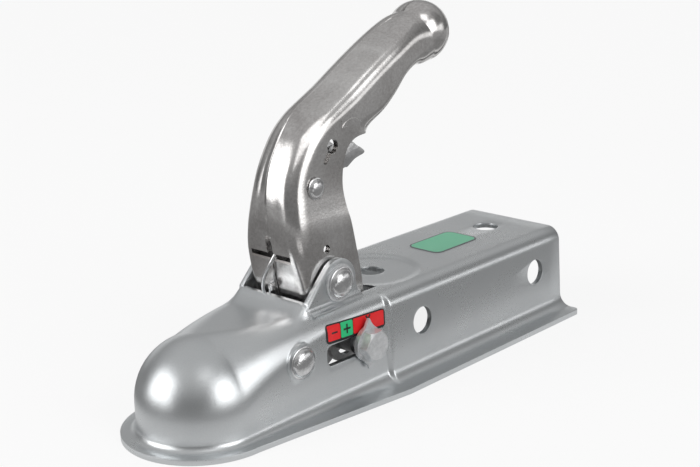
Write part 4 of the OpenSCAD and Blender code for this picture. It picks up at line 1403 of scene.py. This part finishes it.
@dataclass
class Studio:
    """Pale floor, soft lamps, plain world and the camera."""

    floor_z: float = -15.8
    camera_at: tuple[float, float, float] = (-0.35961, -0.42076, 0.23412)
    camera_right: tuple[float, float, float] = (0.6725, -0.7396, -0.0253)
    camera_up: tuple[float, float, float] = (0.2277, 0.1744, 0.9580)
    camera_back: tuple[float, float, float] = (-0.7041, -0.6500, 0.2857)
    lens: float = 71.805
    floor_near: float = 0.62
    floor_mirrored: float = 0.24
    floor_far: float = 0.08
    table_edge: float = 0.8
    cards: tuple[tuple[float, float, float, float], ...] = ((-0.17, -0.4, 0.17, 0.9), (0.5, 0.44, 0.42, 0.7))
    room_low: float = 0.16
    room_high: float = 0.5
    room_least: float = 0.07
    panels: tuple[Panel, ...] = (
        Panel(150, 0.6, 0.42, 0.6, 2.0, 0.5), Panel(-84, 0.46, 0.42, 0.52, 2.2, 0.55),
        Panel(-112, 0.35, 1.7, 0.9, 0.8, 0.6), Panel(48, 1.0, 0.02, 0.32, 0.6, 0.6),
        Panel(-38, 0.5, 0.9, 0.7, -0.16, 0.6), Panel(-47, 0.5, 0.12, 0.2, 0.9, 0.7))
    lever_lamp: tuple[float, float, float, float] = (-121, 53, 0.8, 1.1)
    lamp_shape: float = 0.72

    def camera(self) -> None:
        """Places the camera where the photograph was taken from."""
        data = bpy.data.cameras.new("photo_camera")
        data.lens = self.lens
        data.sensor_width = 36.0
        made = placed("photo_camera", data)
        columns = zip(self.camera_right, self.camera_up, self.camera_back, self.camera_at)
        made.matrix_world = Matrix([*columns, (0, 0, 0, 1)])
        bpy.context.scene.camera = made

    def floor(self) -> None:
        """Large pale floor that the object stands on."""
        size, z = 6000.0, self.floor_z - 0.02
        corners = [(-size, -size, z), (size, -size, z), (size, size, z), (-size, size, z)]
        ground = make_object("floor", corners, [(0, 1, 2, 3)])
        material, canvas = new_surface("pale_floor")
        diffuse = canvas.add("ShaderNodeBsdfDiffuse", {"Color": (0.86, 0.86, 0.86, 1)})
        path = canvas.add("ShaderNodeLightPath").outputs
        mirrored = canvas.math("MAXIMUM", path["Is Glossy Ray"], path["Is Transmission Ray"])
        table = self.table_light(canvas)
        strength = canvas.math("ADD", path["Is Camera Ray"], canvas.math("MULTIPLY", mirrored, table))
        glow = canvas.add("ShaderNodeEmission", {"Color": (1, 1, 1, 1), "Strength": strength})
        share = canvas.math("ADD", canvas.math("MULTIPLY", path["Is Camera Ray"], 0.86), mirrored, clamp=True)
        both = canvas.add("ShaderNodeMixShader", {0: share, 1: diffuse.outputs[0], 2: glow.outputs[0]})
        canvas.add("ShaderNodeOutputMaterial", {"Surface": both.outputs[0]})
        ground.data.materials.append(material)

    def table_light(self, canvas: NodeCanvas) -> Socket:
        """Light that the metal gets from the table.

        It is dark right under the part, where the part's shadow is painted in, bright close by, grey farther
        out and a little lighter beyond the table's edge. Two bright cards lie on it.

        Args:
            canvas: Helper of the floor's tree.

        Returns:
            The strength of the light.
        """
        place = canvas.add("ShaderNodeTexCoord").outputs["Object"]
        parts = canvas.add("ShaderNodeSeparateXYZ", {0: place}).outputs
        front = canvas.math("MINIMUM", parts[0], 0.0)
        squares = [canvas.math("MULTIPLY", side, side) for side in (front, parts[1])]
        aside = canvas.math("SQRT", canvas.math("ADD", *squares))
        away = canvas.add("ShaderNodeVectorMath", {0: place}, operation="LENGTH").outputs["Value"]
        # painted shadow: the table's light is cut right under the part, which darkens what holes and slots
        # mirror
        under = canvas.spread(aside, 0.022, 0.03, -0.5, 0.0)
        near = canvas.spread(aside, 0.05, 0.085, self.floor_near, self.floor_mirrored, soft=True)
        far = canvas.spread(away, self.table_edge * 0.55, self.table_edge, 0.0, self.floor_far, soft=True)
        light = canvas.math("ADD", canvas.math("ADD", near, far), under)
        for x, y, radius, strength in self.cards:
            gap = canvas.add("ShaderNodeVectorMath", {0: place, 1: (x, y, MM * self.floor_z)},
                             operation="DISTANCE").outputs["Value"]
            card = canvas.spread(gap, radius * 0.5, radius, strength, 0.0, soft=True)
            light = canvas.math("ADD", light, card)
        return light

    def panel(self, canvas: NodeCanvas, direction: Socket, panel: Panel) -> Socket:
        """Mask of one soft panel of the studio, seen from the object.

        Args:
            canvas: Helper of the world's tree.
            direction: The direction that is looked at.
            panel: The panel.

        Returns:
            Its strength in that direction.
        """
        turned = canvas.add("ShaderNodeVectorRotate", {"Vector": direction,
                                                       "Angle": -math.radians(panel.azimuth)},
                            rotation_type="Z_AXIS").outputs[0]
        parts = canvas.add("ShaderNodeSeparateXYZ", {0: turned}).outputs
        ahead = canvas.math("MAXIMUM", parts[0], 0.02)
        across = canvas.math("DIVIDE", parts[1], ahead)
        up = canvas.math("SUBTRACT", canvas.math("DIVIDE", parts[2], ahead), panel.middle)
        mask = canvas.math("GREATER_THAN", parts[0], 0.02)
        for value, half in ((across, panel.half_width), (up, panel.half_height)):
            edge = canvas.spread(canvas.math("ABSOLUTE", value), half * (1 - panel.softness), half, 1.0, 0.0,
                                 soft=True)
            mask = canvas.math("MULTIPLY", mask, edge)
        return canvas.math("MULTIPLY", mask, panel.strength)

    def world(self) -> None:
        """Plain world: white for the camera, and soft panels in a grey room for everything else."""
        world = bpy.data.worlds.new("studio")
        bpy.context.scene.world = world
        world.use_nodes = True
        world.node_tree.nodes.clear()
        canvas = NodeCanvas(world.node_tree)
        direction = canvas.add("ShaderNodeTexCoord").outputs["Generated"]
        height = canvas.add("ShaderNodeSeparateXYZ", {0: direction}).outputs[2]
        light = canvas.spread(height, 0.0, 0.9, self.room_low, self.room_high, soft=True)
        for panel in self.panels:
            light = canvas.math("ADD", light, self.panel(canvas, direction, panel))
        light = canvas.math("MAXIMUM", light, self.room_least)
        seen = canvas.add("ShaderNodeLightPath").outputs["Is Camera Ray"]
        strength = canvas.add("ShaderNodeMix", {0: seen, 2: light, 3: 1.0}).outputs[0]
        back = canvas.add("ShaderNodeBackground", {"Color": (1.0, 1.0, 1.0, 1), "Strength": strength})
        canvas.add("ShaderNodeOutputWorld", {"Surface": back.outputs[0]})

    @staticmethod
    def lamp(name: str, at: Vector, target: Vector, size: Point2, power: float) -> Object:
        """Soft lamp aimed at a point.

        Args:
            name: Name of the lamp.
            at: Its place, in metres.
            target: The point that it is aimed at.
            size: Its width and height.
            power: Its power, in watts.

        Returns:
            The lamp.
        """
        data = bpy.data.lights.new(name, "AREA")
        data.shape = "RECTANGLE"
        data.size, data.size_y = size
        data.energy = power
        made = placed(name, data)
        made.location = at
        made.rotation_mode = "QUATERNION"
        made.rotation_quaternion = (target - at).to_track_quat("-Z", "Y")
        return made

    def card_lamp(self, lit: Sequence[Object]) -> None:
        """Soft card held close to the lever, which lights only the lever and the catch.

        Args:
            lit: The pieces that it lights.
        """
        azimuth, height, size, radiance = self.lever_lamp
        a, e = math.radians(azimuth), math.radians(height)
        target = Vector((0.06, 0, 0.11))
        at = target + 0.8 * Vector((math.cos(e) * math.cos(a), math.cos(e) * math.sin(a), math.sin(e)))
        power = radiance * math.pi * size * size * self.lamp_shape
        made = self.lamp("lever_card", at, target, (size, size * self.lamp_shape), power)
        receivers = bpy.data.collections.new("lever_card_receivers")
        for piece in lit:
            receivers.objects.link(piece)
        made.light_linking.receiver_collection = receivers

    def build(self) -> None:
        """Builds the whole studio."""
        self.camera()
        self.floor()
        self.world()
        middle = Vector((0.08, 0, 0.03))
        for name, at, size, power in (("key_left", (-0.9, 0.5, 0.75), (0.7, 0.7), 3.0),
                                      ("front_right", (-0.1, -1.1, 0.8), (0.4, 0.7), 2.5)):
            self.lamp(name, Vector(at), middle, size, power).visible_glossy = False
        bpy.context.scene.view_settings.view_transform = "Standard"


def main() -> None:
    """Builds the studio and every piece, in order."""
    logging.basicConfig(level=logging.INFO, format="%(name)s: %(message)s")
    finishes = Finishes()
    studio = Studio()
    studio.build()
    housing = PressedHousing()
    pieces = [housing.build(finishes), FoldedLever().build(finishes), SafetyCatch().build(finishes)]
    studio.card_lamp(pieces[1:3])
    pieces += Wires().build(finishes) + Rivets().build(finishes) + Labels(housing).build(finishes)
    CarriedNodes().build(finishes)
    for piece in pieces:
        LOG.info("%s: %d faces", piece.name, len(piece.data.polygons))


if __name__ == "__main__":
    main()
